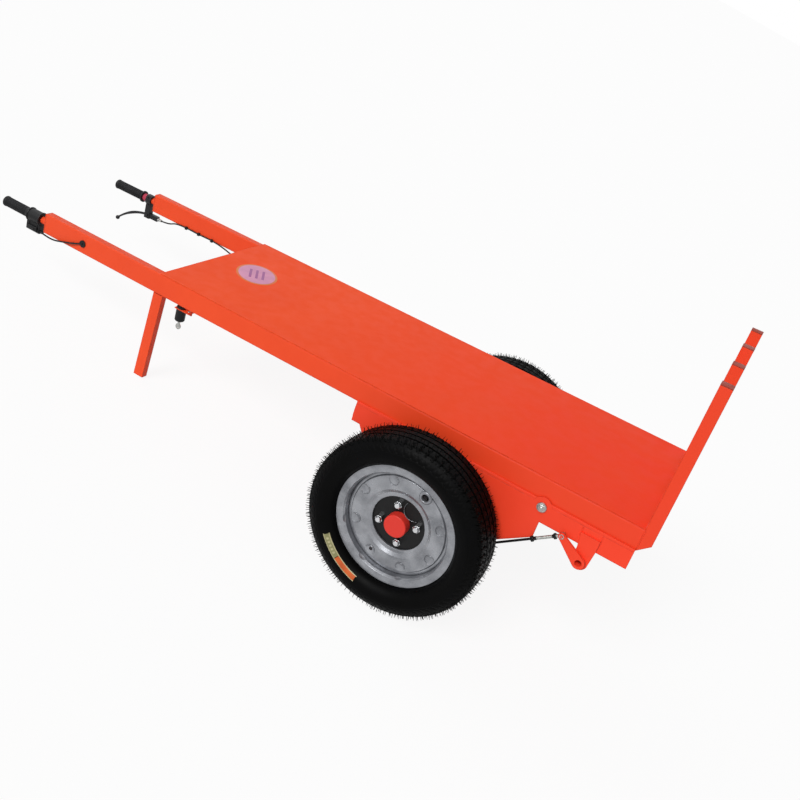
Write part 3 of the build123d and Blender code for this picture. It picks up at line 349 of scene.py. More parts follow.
def piece(name, shape, body, slot, finish=None, sharp=38, stands_for=()):
    """A finished mesh of the cart: closed up, shaded, in the row frame, and riding on its body."""
    mesh = bpy.data.meshes.new(name)
    mesh.from_pydata([tuple(point) for point in shape.points], [], shape.faces)
    work = bmesh.new()
    work.from_mesh(mesh)
    bmesh.ops.remove_doubles(work, verts=work.verts, dist=0.002)
    bmesh.ops.recalc_face_normals(work, faces=work.faces)
    work.to_mesh(mesh)
    work.free()
    mesh.transform(deck_frame)
    mesh.shade_smooth()
    mesh.set_sharp_from_angle(angle=math.radians(sharp))
    mesh.materials.append(finish or finishes[slot])
    made = placed(name, mesh)
    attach(made, body)
    if stands_for:
        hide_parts(*stands_for)


def grid_faces(rows, columns, row_loop, column_loop):
    faces = []
    for row in range(rows if row_loop else rows - 1):
        for column in range(columns if column_loop else columns - 1):
            after, beside = (row + 1) % rows, (column + 1) % columns
            faces.append((row * columns + column, row * columns + beside,
                          after * columns + beside, after * columns + column))
    return faces


def turned(profile, steps, ripple=None):
    """A lathe shape about X from (along, radius) points, as a closed profile or one that ends on the axis."""
    points = []
    for step in range(steps):
        angle = 2 * math.pi * step / steps
        for along, radius in profile:
            if ripple:
                radius = ripple(angle, along, radius)
            points.append((along, radius * math.cos(angle), radius * math.sin(angle)))
    on_axis = profile[0][1] == 0 and profile[-1][1] == 0
    return Shape(points, grid_faces(steps, len(profile), True, not on_axis))


def at(x, y, z):
    """Where a shape goes without a turn."""
    return Matrix.Translation((x, y, z))


def spoke(radius, angle, across=0.0):
    """A point on a circle round the wheel axle, at a place across the cart."""
    return Vector((radius * math.cos(angle), across, radius * math.sin(angle)))


def pointing(centre, direction):
    """Where a turned shape goes so that its axis points in a direction."""
    turn = Vector((1, 0, 0)).rotation_difference(Vector(direction))
    return Matrix.Translation(centre) @ turn.to_matrix().to_4x4()


def tube(path, radii, across, sides=10):
    """A tube through points, with a (width, height) half size at each and closed round ends."""
    across = Vector(across).normalized()
    path = [Vector(point) for point in path]
    points = []
    for index, point in enumerate(path):
        run = path[min(index + 1, len(path) - 1)] - path[max(index - 1, 0)]
        upright = run.cross(across).normalized()
        level = upright.cross(run).normalized()
        width, height = radii[index]
        for side in range(sides):
            angle = 2 * math.pi * side / sides
            points.append(point + level * width * math.cos(angle) + upright * height * math.sin(angle))
    shape = Shape(points, grid_faces(len(path), sides, False, True))
    last = (len(path) - 1) * sides
    shape.faces.append(tuple(range(sides - 1, -1, -1)))
    shape.faces.append(tuple(range(last, last + sides)))
    return shape


def bevelled_block(size, bevel, segments=3):
    """A rectangular moulding or bar with rounded edges, centred on the origin."""
    work = bmesh.new()
    bmesh.ops.create_cube(work, size=1.0)
    bmesh.ops.scale(work, verts=work.verts, vec=size)
    bmesh.ops.bevel(work, geom=work.edges[:], offset=bevel, segments=segments, affect="EDGES", profile=0.5)
    work.verts.index_update()
    shape = Shape([vertex.co.copy() for vertex in work.verts],
                  [tuple(vertex.index for vertex in face.verts) for face in work.faces])
    work.free()
    return shape


def arc(first, middle, last, count):
    """Points on the circle through three points, from the first to the last."""
    (ax, ay), (bx, by), (cx, cy) = first, middle, last
    d = 2 * (ax * (by - cy) + bx * (cy - ay) + cx * (ay - by))
    sa, sb, sc = ax * ax + ay * ay, bx * bx + by * by, cx * cx + cy * cy
    x = (sa * (by - cy) + sb * (cy - ay) + sc * (ay - by)) / d
    y = (sa * (cx - bx) + sb * (ax - cx) + sc * (bx - ax)) / d
    start, through, stop = (math.atan2(q - y, p - x) for p, q in (first, middle, last))
    turn = (stop - start) % (2 * math.pi)
    if (through - start) % (2 * math.pi) > turn:
        turn -= 2 * math.pi
    radius = math.hypot(ax - x, ay - y)
    return [(x + radius * math.cos(start + turn * k / count), y + radius * math.sin(start + turn * k / count))
            for k in range(count + 1)]


def hexagon_bolt(across, height):
    """A bolt head on its washer, axis X, standing on the plane at 0."""
    seat = across * 0.1
    washer = turned([(0, 0), (0, across * 0.62), (across * 0.09, across * 0.62), (seat, 0)], 28)
    corner = across / 2 / math.cos(math.pi / 6)
    head = [(seat, 0), (seat, corner), (height * 0.88, corner), (height, corner * 0.86), (height, 0)]
    return washer + turned(head, 6)


def weld_bead(start, stop, radius, seed):
    """A hand-run fillet weld: a line of overlapping ripples of slightly uneven width."""
    chance = random.Random(seed)
    start, stop = Vector(start), Vector(stop)
    run = stop - start
    ripple = 3.2
    count = max(4, int(run.length / ripple) * 2)
    across = Vector((0, 0, 1)) if abs(run.normalized().z) < 0.8 else Vector((0, 1, 0))
    path, radii = [], []
    for step in range(count + 1):
        share = step / count
        swell = 1.0 if step % 2 else 0.84
        end_share = min(1, 0.45 + 6 * min(share, 1 - share))
        width = radius * swell * end_share * chance.uniform(0.92, 1.1)
        path.append(start + run * share)
        radii.append((width, width))
    return tube(path, radii, across, 8)

def weld_ring(profile, steps, swell, ripples):
    """A fillet weld round a bar or a tube, axis X."""
    return turned(profile, steps, lambda angle, along, radius: radius + swell * math.sin(ripples * angle))
# wheels

LUG_COUNT = 72
LUG_STEPS = 8
tread_half = 47
tread_drop = 3
groove_places, groove_half, groove_depth = (-23, 0, 23), 3, 6
bead_radius = 152
flange_gap = 3.8


def tyre_section():
    """Outer profile of one half of the tyre, as (offset, radius) from the bead to the middle of the tread."""
    shoulder = tyre_radius - tread_drop
    wall_middle = (rim_radius + tyre_radius) / 2 - 5
    bead_out = rim_half - flange_gap
    wall = tyre_half - 0.6
    heel = bead_radius + 0.3
    wall_top = (wall - 2, (wall_middle + shoulder) / 2)
    tread_edge = (tread_half + 10, shoulder - 8)
    half = [(bead_out - 10, heel), (bead_out - 4, heel), (bead_out, bead_radius + 5)]
    half += arc((bead_out, rim_radius + 1), (wall - 9, rim_radius + 13), (wall, wall_middle), 12)
    half += arc((wall, wall_middle), wall_top, tread_edge, 20)[1:]
    half += arc(tread_edge, (tread_half + 6, shoulder - 2.5), (tread_half, shoulder), 6)[1:]
    crown_radius = (tread_half ** 2 + tread_drop ** 2) / (2 * tread_drop)
    for offset in (44, 41, 38, 35, 32, 29, 26.1, 25.9, 20.1, 19.9, 17, 14, 11, 8, 5, 3.1, 2.9, 0):
        half.append((offset, tyre_radius - crown_radius + math.sqrt(crown_radius ** 2 - offset ** 2)))
    return half


def saw(value):
    """A zigzag from 0 to 1 and back over each whole number."""
    return abs((value % 1) * 2 - 1)


def tread_cut(offset, radius, turn):
    """How deep the pattern cuts, at a turn counted in lugs. What is below zero stands out."""
    lug_zone, lug_depth, lug_share, sipe_depth, sipe_share = 12, 4.2, 0.2, 1.6, 0.13
    crown_side, zigzag_width, zigzag_lift, ring_lift = 30, 18, 1.1, 0.8
    lug_foot = tyre_radius - lug_zone
    for place in groove_places:
        if abs(offset - place) < groove_half:
            return groove_depth
    side = abs(offset)
    if radius > lug_foot and side > crown_side:
        lug = (turn + 0.28 * saw(side / 16)) % 1
        depth = lug_depth * min(1, (side - crown_side) / 6) * min(1, (radius - lug_foot) / 4)
        return depth if lug < lug_share else 0
    if side <= crown_side:
        return sipe_depth if (turn + 0.5 * saw(side / 22)) % 1 < sipe_share else 0
    if lug_foot - zigzag_width < radius <= lug_foot:
        place = (radius - (lug_foot - zigzag_width)) / zigzag_width
        return -zigzag_lift if abs(place - saw(turn)) < 0.2 else 0
    if abs(radius - (rim_radius + 9)) < 1.6 or abs(radius - (tyre_radius - 33)) < 0.9:
        return -ring_lift
    return 0


def tyre_shape(side):
    """The whole tyre with grooves, lugs, sidewall zigzag and rim band, as a closed ring."""
    half = tyre_section()
    outer = half + [(-offset, radius) for offset, radius in half[-2::-1]]
    bead_out = rim_half - flange_gap
    liner = [(bead_out - 12, bead_radius + 10), (tyre_half - 18, rim_radius + 20),
             (tyre_half - 12, rim_radius + 36), (tread_half - 2, tyre_radius - 16), (0, tyre_radius - 13)]
    inner = [(-offset, radius) for offset, radius in liner] + liner[-2::-1]
    steps = LUG_COUNT * LUG_STEPS
    points = []
    for step in range(steps):
        angle = 2 * math.pi * step / steps
        turn = step / LUG_STEPS
        cosine, sine = math.cos(angle), math.sin(angle)
        for index, (offset, radius) in enumerate(outer):
            before, after = outer[max(index - 1, 0)], outer[min(index + 1, len(outer) - 1)]
            run = Vector((after[0] - before[0], after[1] - before[1])).normalized()
            cut = tread_cut(offset, radius, turn)
            offset, radius = offset + run.y * cut, radius + run.x * cut
            points.append((radius * cosine, side * (half_track + offset), radius * sine))
        for offset, radius in inner:
            points.append((radius * cosine, side * (half_track + offset), radius * sine))
    return Shape(points, grid_faces(steps, len(outer) + len(inner), True, True))


def vent_hairs(side):
    """Rubber hairs that the mould's air vents leave on a new tyre, along the shoulders and the tread."""
    chance = random.Random(5 + side)
    rows = ((tread_half + 4.5, tyre_radius - 5.5, 0.35, 230), (tread_half + 9.5, tyre_radius - 10, 0.7, 110),
            (12, tyre_radius - 0.4, 0.0, 130), (33, tyre_radius - 1.6, 0.1, 150),
            (-33, tyre_radius - 1.6, -0.1, 110), (-tread_half - 4.5, tyre_radius - 5.5, -0.75, 120))
    hair_sizes = [(size, size) for size in (0.95, 0.8, 0.45)]
    shape = Shape()
    for offset, radius, lean, count in rows:
        for index in range(count):
            angle = 2 * math.pi * (index + chance.uniform(-0.3, 0.3)) / count
            length = chance.uniform(6.0, 12.0)
            outward = spoke(1, angle, side * (lean + chance.uniform(-0.2, 0.2))).normalized()
            sideways = Vector((-math.sin(angle), 0, math.cos(angle)))
            root = spoke(radius, angle, side * (half_track + offset))
            bend = sideways * chance.uniform(-2.2, 2.2)
            tip = root + outward * length + bend
            if (deck_frame @ tip).z < 0.5 * MM:
                continue
            path = [root - outward, root + outward * length * 0.5 + bend * 0.3, tip]
            shape += tube(path, hair_sizes, sideways, 5)
    return shape


def sidewall_patch(side, first, last, low, high, lift, thick):
    """A thin film that lies on the outer sidewall between two angles in degrees and two radii."""
    wall = [(offset, radius) for offset, radius in tyre_section() if radius > rim_radius + 1.5]
    columns = max(4, int(abs(last - first) / 1.5))
    rows = 5
    shape = Shape()
    for level in (lift, lift - thick):
        for column in range(columns + 1):
            angle = math.radians(first + (last - first) * column / columns)
            for row in range(rows + 1):
                radius = low + (high - low) * row / rows
                offset = wall_offset(wall, radius) + level
                shape.points.append(spoke(radius, angle, side * (half_track + offset)))
    size = (columns + 1) * (rows + 1)
    sheet = grid_faces(columns + 1, rows + 1, False, False)
    shape.faces += sheet + [tuple(index + size for index in reversed(face)) for face in sheet]
    rim_line = [column * (rows + 1) for column in range(columns + 1)]
    rim_line += [columns * (rows + 1) + row for row in range(1, rows + 1)]
    rim_line += [column * (rows + 1) + rows for column in range(columns - 1, -1, -1)]
    rim_line += [row for row in range(rows - 1, 0, -1)]
    for here, there in zip(rim_line, rim_line[1:] + rim_line[:1]):
        shape.faces.append((here, there, there + size, here + size))
    return shape


def wall_offset(wall, radius):
    for (first_offset, first_radius), (next_offset, next_radius) in zip(wall, wall[1:]):
        if first_radius <= radius <= next_radius:
            share = (radius - first_radius) / (next_radius - first_radius)
            return first_offset + (next_offset - first_offset) * share
    return wall[0][0]


label_olive = printed_film("label_film_olive", "#8E8B62", "#77744F")
label_edge = printed_film("label_film_pale", "#B7B08A", "#A59C76")
label_orange = printed_film("label_film_orange", "#C9602A", "#B24D20")

for word, side in SIDES.items():
    body = "wheel_" + word
    piece("tyre_tread_" + word, tyre_shape(side), body, "tyre_rubber", sharp=30, stands_for=("tyre_" + word,))
    piece("vent_hairs_" + word, vent_hairs(side), body, "tyre_rubber")

    # a plain two-colour band on the outer sidewall, with pale borders and a row of equal blocks
    low, high = rim_radius + 16, rim_radius + 30
    for colour, film, first, last in (("olive", label_olive, 214, 234), ("orange", label_orange, 234.5, 256)):
        band = sidewall_patch(side, first, last, low, high, 0.5, 0.6)
        piece("band_" + colour + "_" + word, band, body, "tyre_rubber", film)
    borders = Shape()
    for edge_low, edge_high in ((low - 1.2, low + 0.6), (high - 0.6, high + 1.2)):
        borders += sidewall_patch(side, 213.4, 256.6, edge_low, edge_high, 0.7, 0.4)
    for block in range(5):
        start = 217 + block * 3.1
        borders += sidewall_patch(side, start, start + 1.7, low + 4, high - 4, 0.75, 0.3)
    piece("band_border_" + word, borders, body, "tyre_rubber", label_edge)

    # a rubber plug over the brake adjusting hole, with a tapered silver arc beside it as a painted highlight
    drum_low, drum_high = deck_box("hub_drum_" + word)
    drum_face = max(abs(drum_low.y), abs(drum_high.y))
    plug_circle, plug_radius, plug_angle = 60, 25.5, math.radians(61)
    plug_place = spoke(plug_circle, plug_angle, side * drum_face)
    dome = [(0.1, 0), (0.1, plug_radius), (1.2, plug_radius), (2.2, plug_radius - 1.5),
            (1.6, plug_radius - 6), (0.8, plug_radius - 12), (0.7, 0)]
    plug = turned(dome, 56).moved(pointing(plug_place, (0, side, 0)))
    piece("drum_plug_" + word, plug, body, "drum_iron")
    # painted highlight: a silver arc on the black drum, widest in its middle
    highlight_arc, widths = [], []
    highlight_steps, highlight_from, highlight_turn = 26, -215, 160
    for step in range(highlight_steps + 1):
        angle = math.radians(highlight_from + highlight_turn * step / highlight_steps)
        highlight_arc.append(plug_place + spoke(1, angle, side * 0.02) * (plug_radius + 2.4))
        widths.append((0.4 + 3.6 * abs(math.sin(math.pi * step / highlight_steps)) ** 1.5, 0.5))
    piece("plug_painted_highlight_" + word, tube(highlight_arc, widths, (0, 1, 0), 8), body, "rim_silver")

    # the pressed step between barrel and disc, the lips of the scallops and the flared valve boss
    seat = bead_radius - 4
    step_ring = [(6, 137), (13, 137.2), (14.6, 138.4), (15.2, 142), (15, 146), (13.6, seat + 0.4),
                 (6, seat + 0.4)]
    pressing = turned(step_ring, 96).moved(pointing((0, side * half_track, 0), (0, side, 0)))
    dish_face, dimple_circle, dimple_lip, valve_angle = side * (half_track + 19), 124, 13.5, 67.5
    dimple_steps = 18
    for index in range(1, 8):
        centre = math.radians(valve_angle + 45 * index)
        middle = spoke(dimple_circle, centre, dish_face)
        lip, widths = [], []
        for step in range(dimple_steps + 1):
            share = step / dimple_steps
            lip.append(middle + spoke(dimple_lip, centre + math.pi * (0.42 + 1.16 * share)))
            widths.append((0.5 + 1.5 * abs(math.sin(math.pi * share)), 1.1))
        pressing += tube(lip, widths, (0, 1, 0), 8)
    boss = [(-2, 10.2), (3.4, 10.2), (4.4, 11.4), (4.2, 14), (2.4, 17), (0.2, 19), (-2, 19)]
    boss_place = spoke(dimple_circle, math.radians(valve_angle), dish_face)
    pressing += turned(boss, 48).moved(pointing(boss_place, (0, side, 0)))
    piece("rim_pressings_" + word, pressing, body, "rim_silver")


# handles

def grip_profile(length, radius, bore, flange):
    """Half section of a rubber grip from its closed outer end: end bulb, rings and an inner flange."""
    bulb = radius + 1.0
    profile = [(-length, 0), (-length, radius * 0.6), (-length + 1.4, radius * 0.92), (-length + 4, bulb),
               (-length + 8, bulb), (-length + 10, radius)]
    ring = 4.2
    count = int((length - 20) / ring)
    for index in range(count):
        start = -length + 11 + index * ring
        profile += [(start, radius), (start + ring * 0.55, radius), (start + ring * 0.65, radius - 0.9),
                    (start + ring * 0.9, radius - 0.9)]
    profile.append((-7.5, radius))
    if flange:
        profile += [(-6, radius + 0.5), (-5.4, flange), (-0.8, flange), (0, flange - 0.8)]
    else:
        profile += [(-4, radius + 0.6), (-1, radius + 0.6), (0, radius)]
    return profile + [(0, bore), (-length + 4, bore), (-length + 4, 0)]


def grip_flutes(angle, along, radius):
    """Fine flutes along the grip, which fade at its ends."""
    return radius - 0.35 * (0.5 + 0.5 * math.cos(26 * angle)) if 14 < radius < 18 else radius


grip_radius = 15.8
for node, side, body, flange, bore in (("throttle_grip", RIGHT, "throttle", 0, 11.2),
                                       ("grip_left", LEFT, "deck", 20, 11.1)):
    low, high = deck_box(node)
    shape = turned(grip_profile(high.x - low.x, grip_radius, bore, flange), 104, grip_flutes)
    shape = shape.moved(at(high.x, side * rail_y, bar_z))
    piece(node + "_ribbed", shape, body, "black_rubber", sharp=30, stands_for=(node,))

housing_low, housing_high = deck_box("throttle_housing")
housing_radius = housing_high.z - bar_z
fittings = Shape()
for along in (housing_low.x + 2.5, housing_high.x - 2.5):
    collar = [(-2.5, housing_radius - 1), (-2.5, housing_radius + 1.4), (-1.5, housing_radius + 2),
              (1.5, housing_radius + 2), (2.5, housing_radius + 1.4), (2.5, housing_radius - 1)]
    fittings += turned(collar, 48).moved(at(along, -rail_y, bar_z))
block_x = (housing_low.x + housing_high.x) / 2
fittings += bevelled_block((40, 5, 15), 2).moved(at(block_x, -rail_y - 15, bar_z - 34))
fittings += bevelled_block((15, 5, 6), 1.5).moved(at(block_x + 4, -rail_y - 17.5, bar_z - 33))
boot = [(0, 0), (0, 5), (2, 5.2), (5, 4.4), (6, 4.8), (8, 4.0), (9, 4.4), (11, 3.6), (14, 3.2), (14, 0)]
boot_place = Vector((housing_high.x - 0.5, -rail_y - 6, rail_bottom - 7))
fittings += turned(boot, 20).moved(pointing(boot_place, (1, -0.08, 0)))
piece("throttle_collars", fittings, "deck", "black_plastic")
screws = Shape()
for along in (housing_low.x + 9, housing_high.x - 9):
    dome = [(0, 0), (0, 3.4), (1.2, 3.2), (2.2, 2.2), (2.5, 1.2), (1.4, 1.1), (1.4, 0)]
    screws += turned(dome, 24).moved(pointing((along, -rail_y - 12.8, bar_z - 22), (0, -1, 0)))
piece("housing_screws", screws, "deck", "black_plastic")

# brake lever: a drawn blade that tapers from the pivot eye and curls down to a ball
lever_pivot = joint_place("brake_lever_pull")
lever_low = deck_box("brake_lever")[0]
blade_end = (lever_low.x + 7.5, lever_low.z + 7.5)
blade_middle = (lever_pivot.x - 60, lever_pivot.z - 15)
curve = arc((lever_pivot.x, lever_pivot.z), blade_middle, blade_end, 26)
path = [(x, rail_y, z) for x, z in curve]
sizes = []
for index in range(len(path)):
    share = index / (len(path) - 1)
    sizes.append((3.9 - 0.7 * share, 4.6 - 1.5 * share + 1.2 * math.sin(math.pi * share) ** 4))
lever = tube(path, sizes, (0, 1, 0), 16)
ball_radius, ball_steps = 7.4, 14
ball = []
for step in range(ball_steps + 1):
    angle = math.pi * step / ball_steps
    ball.append((-ball_radius * math.cos(angle), ball_radius * math.sin(angle)))
ball[0], ball[-1] = (-ball_radius, 0), (ball_radius, 0)
lever += turned(ball, 24).moved(pointing((blade_end[0], rail_y, blade_end[1]), (0, 1, 0)))
eye = [(-4, 3.05), (-4, 8.2), (-3.2, 9), (3.2, 9), (4, 8.2), (4, 3.05)]
lever += turned(eye, 36).moved(pointing(lever_pivot, (0, 1, 0)))
piece("brake_lever_blade", lever, "hand_lever", "axle_paint", sharp=30, stands_for=("brake_lever",))

perch_low = deck_box("brake_perch")[0]
perch_bolts = Shape()
socket = [(0, 0), (0, 3.2), (4.6, 3.2), (5.2, 2.7), (5.2, 1.5), (2.2, 1.4), (2.2, 0)]
for shift, drop in ((-18, 14), (-9.6, -13.5)):
    place = (perch_low.x + 11, rail_y + shift, bar_z + drop)
    perch_bolts += turned(socket, 24).moved(pointing(place, (0, -1, 0)))
piece("perch_bolts", perch_bolts, "deck", "axle_paint")
sleeve_start = deck_box("grip_left")[1].x + 0.3
sleeve_length = perch_low.x - 0.3 - sleeve_start
sleeve = [(0, 11.15), (0, 12.2), (0.8, 12.9), (sleeve_length - 0.8, 12.9), (sleeve_length, 12.2),
          (sleeve_length, 11.15)]
sleeve_shape = turned(sleeve, 40).moved(at(sleeve_start, rail_y, bar_z))
piece("bar_sleeve", sleeve_shape, "deck", "cap_red", sleeve_vinyl)


def held_cord(name, route, radius, body, slot, stands_for):
    """A cable that the cart holds at both ends, as one smooth line through its route."""
    curve = bpy.data.curves.new(name, "CURVE")
    curve.dimensions = "3D"
    spline = curve.splines.new("NURBS")
    spline.points.add(len(route) - 1)
    for point, place in zip(spline.points, route):
        point.co = (deck_frame @ Vector(place)).to_4d()
    spline.order_u = 3
    spline.use_endpoint_u = True
    spline.resolution_u = 12
    curve.bevel_depth = radius * MM
    curve.bevel_resolution = 5
    curve.use_fill_caps = True
    curve.materials.append(finishes[slot])
    made = placed(name, curve)
    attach(made, body)
    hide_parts(stands_for)


CORD_RADIUS = 2.5
throttle_route = [(-1439.4, -256, 203), (-1413, -261.5, 202.5), (-1369, -271, 207), (-1331, -272, 218),
                  (-1297, -272.5, 228), (-1258, -267.5, 241.5)]
held_cord("throttle_wire", throttle_route, CORD_RADIUS, "deck", "black_plastic", "throttle_cable")
brake_route = [(-1381.4, 250, 185.5), (-1346, 246, 189.5), (-1307.2, 231.5, 211), (-1259.8, 232, 214),
               (-1204.8, 231.6, 212.5), (-1147, 232, 214), (-1097, 230, 210), (-1052.8, 227, 201),
               (-1006.9, 224, 198), (-955, 223, 206), (-913, 224, 220.75), (-888, 232.5, 225.75)]
held_cord("brake_bowden", brake_route, CORD_RADIUS, "deck", "black_plastic", "brake_cable")


# welds and small fittings on the deck frame

welds = Shape()
seed = 11
for word, side in SIDES.items():
    leg_low, leg_high = deck_box("leg_" + word)
    outer, inner = side * half_deck, side * (half_deck - (leg_high.y - leg_low.y))
    for along in (leg_high.x - 34, leg_high.x):
        welds += weld_bead((along, outer - side * 1.5, rail_bottom), (along, inner, rail_bottom), 2.4, seed)
        seed += 1
    welds += weld_bead((leg_high.x - 33, inner, rail_bottom), (leg_high.x - 1, inner, rail_bottom), 2.4, seed)
    ring = weld_ring([(-2.2, 10.5), (-1.2, 13.2), (0.4, 14.0), (0.4, 10.5)], 40, 0.35, 17)
    welds += ring.moved(at(rail_rear - 3, side * rail_y, bar_z))
TINES = ("outer_right", "inner_right", "inner_left", "outer_left")
tine_face, foot = deck_front + 0.6, sheet_top + 0.4
for index, word in enumerate(TINES):
    low, high = deck_box("tine_" + word)
    for edge in (low.y, high.y):
        welds += weld_bead((tine_face, edge, rail_bottom + 6), (tine_face, edge, sheet_top), 2.0, 40 + index)
    welds += weld_bead((deck_front, low.y + 1, foot), (deck_front, high.y - 1, foot), 2.2, 50 + index)
member_pitch, member_width = 375, 30
for index in range(4):
    for edge in (0, member_width):
        along = deck_rear + index * member_pitch + edge
        if along < deck_rear + 1:
            continue
        for inner in (-rail_inner, rail_inner):
            welds += weld_bead((along, inner, rail_top - 29), (along, inner, rail_top - 2), 2.2, 60 + index)
stitch_pitch, stitch_length = 170, 45
for side in (RIGHT, LEFT):
    inner, seam, lip = side * rail_inner, rail_top - 0.5, sheet_top - 3.4
    for stitch in range(9):
        along = deck_rear + 60 + stitch * stitch_pitch
        welds += weld_bead((along, inner, seam), (along + stitch_length, inner, seam), 2.0, 80 + stitch)
    welds += weld_bead((deck_rear + 2, inner - side, lip), (deck_rear + 2, inner + side, lip), 1.5, 95)
lug_low, lug_high = deck_box("hinge_lugs")
lug_foot = rail_bottom - 0.6
for side in (RIGHT, LEFT):
    for face in (side * half_deck, side * (half_deck - 10)):
        welds += weld_bead((lug_low.x + 2, face, lug_foot), (lug_high.x - 2, face, lug_foot), 1.7, 99)
piece("deck_welds", welds, "deck", "frame_paint", sharp=60)

bolt_place = (deck_box("key_bracket")[1].x - 9, -rail_y - 2, rail_bottom - 12)
bracket_bolt = hexagon_bolt(8, 5).moved(pointing(bolt_place, (0, -1, 0)))
piece("key_bracket_bolt", bracket_bolt, "deck", "zinc_steel")


def flat_oval(centre, long_half, short_half, tilt, lift, thick, count=64):
    """A thin oval of film that lies on the deck sheet."""
    turn = Matrix.Rotation(tilt, 4, "Z")
    points, rings = [], ((1.0, lift - thick), (1.0, lift - 0.1), (0.985, lift), (0.5, lift), (0.0, lift))
    for share, height in rings:
        for step in range(count):
            angle = 2 * math.pi * step / count
            flat = (long_half * share * math.cos(angle), short_half * share * math.sin(angle), height)
            points.append(Vector(centre) + turn @ Vector(flat))
    shape = Shape(points, grid_faces(len(rings), count, False, True))
    shape.faces.append(tuple(range(count - 1, -1, -1)))
    return shape


# a plain oval decal with an even border and three equal stripes in its middle
film_lilac = printed_film("deck_film_lilac", "#D58FB0", "#C884A8")
film_yellow = printed_film("deck_film_yellow", "#DB6A24", "#D07A2C")
film_violet = printed_film("deck_film_violet", "#A0508C", "#9A5A90")
decal_place, decal_tilt = Vector((-817, 22, sheet_top)), math.radians(-58.5)
decal_long, decal_short, decal_border = 70, 58, 7
border = flat_oval(decal_place, decal_long + decal_border, decal_short + decal_border, decal_tilt, 0.25, 0.3)
piece("deck_decal_border", border, "deck", "frame_paint", film_yellow)
face = flat_oval(decal_place, decal_long, decal_short, decal_tilt, 0.5, 0.4)
piece("deck_decal_face", face, "deck", "frame_paint", film_lilac)
stripe_size, stripe_pitch, stripes = (66, 8, 0.4), 20, Shape()
for row in (-1, 0, 1):
    lie = Matrix.Translation(decal_place) @ Matrix.Rotation(decal_tilt, 4, "Z")
    stripes += bevelled_block(stripe_size, 0.15, 1).moved(lie @ at(0, row * stripe_pitch, 0.7))
piece("deck_decal_stripes", stripes, "deck", "frame_paint", film_violet)

# the closed tube ends on top of the tines, covered with a darker coat as painted shade
shaded_tine_ends = Shape()
for word in TINES:
    low, high = deck_box("tine_" + word)
    lid = bevelled_block((high.x - low.x + 0.4, high.y - low.y + 0.4, 2.4), 1.0)
    shaded_tine_ends += lid.moved(at((low.x + high.x) / 2, (low.y + high.y) / 2, high.z + 0.2))
piece("shaded_tine_ends", shaded_tine_ends, "deck", "frame_paint", shaded_end_coat)


# chassis

welds = Shape()
rest_low, rest_high = deck_box("rest_tube")
tray_low, tray_high = deck_box("chassis_tray")
tray_seam = tray_low.z + 3.6
side_high = deck_box("chassis_side_right")[1]
side_inner = -side_high.y
for side in (RIGHT, LEFT):
    inner, outer = side * side_inner, side * (side_inner + 4)
    for along in (rest_low.x, rest_high.x):
        welds += weld_bead((along, inner, rest_low.z + 2), (along, inner, rest_high.z - 3), 2.4, 120)
    welds += weld_bead((tray_low.x + 10, inner, tray_seam), (tray_high.x - 10, inner, tray_seam), 2.2, 130)
    ring = weld_ring([(-1.8, 29.4), (0.2, 33.5), (0.4, 29.4)], 60, 0.4, 29)
    welds += ring.moved(pointing((0, outer, 0), (0, -side, 0)))
    for bracket_end in deck_box("shaft_brackets"):
        along = bracket_end.x
        welds += weld_bead((along, outer, side_high.z - 48), (along, outer, side_high.z - 19), 1.9, 140)
piece("chassis_welds", welds, "chassis", "chassis_paint", sharp=60)

# the plates' folded top edge, which laps the foot of the rails
laps = Shape()
lap_rear, lap_front, lap_height = -250, 554, 9
for side in (RIGHT, LEFT):
    lap = bevelled_block((lap_front - lap_rear, 3.4, lap_height), 0.8)
    laps += lap.moved(at((lap_front + lap_rear) / 2, side * (side_inner + 2), rail_bottom + 1))
piece("plate_top_edges", laps, "chassis", "chassis_paint")

pivot = joint_place("deck_tilt")
pin_face = -deck_box("hinge_pins")[0].y
caps = Shape()
nut = [(-0.5, 0), (-0.5, 8.6), (3.2, 8.6), (4.2, 7.6), (4.2, 4.6), (5.6, 4.4), (6.2, 3.6), (6.2, 0)]
washer = [(-0.2, 0), (-0.2, 11.4), (0.9, 11.4), (1.1, 11), (1.1, 0)]
for side in (RIGHT, LEFT):
    cap = turned(nut, 6) + turned(washer, 36)
    caps += cap.moved(pointing((pivot.x, side * pin_face, pivot.z), (0, side, 0)))
piece("hinge_nuts", caps, "chassis", "zinc_steel")


def threaded(length, radius, pitch):
    """A screw thread as rings of a coarse pitch, since the real one is too fine to show."""
    profile = [(0, 0), (0, radius - 0.5)]
    count = int(length / pitch)
    for index in range(count):
        profile += [(index * pitch + 0.2 * pitch, radius - 0.5), (index * pitch + 0.5 * pitch, radius + 0.25),
                    (index * pitch + 0.8 * pitch, radius - 0.5)]
    return turned(profile + [(length, radius - 0.5), (length, 0)], 16)


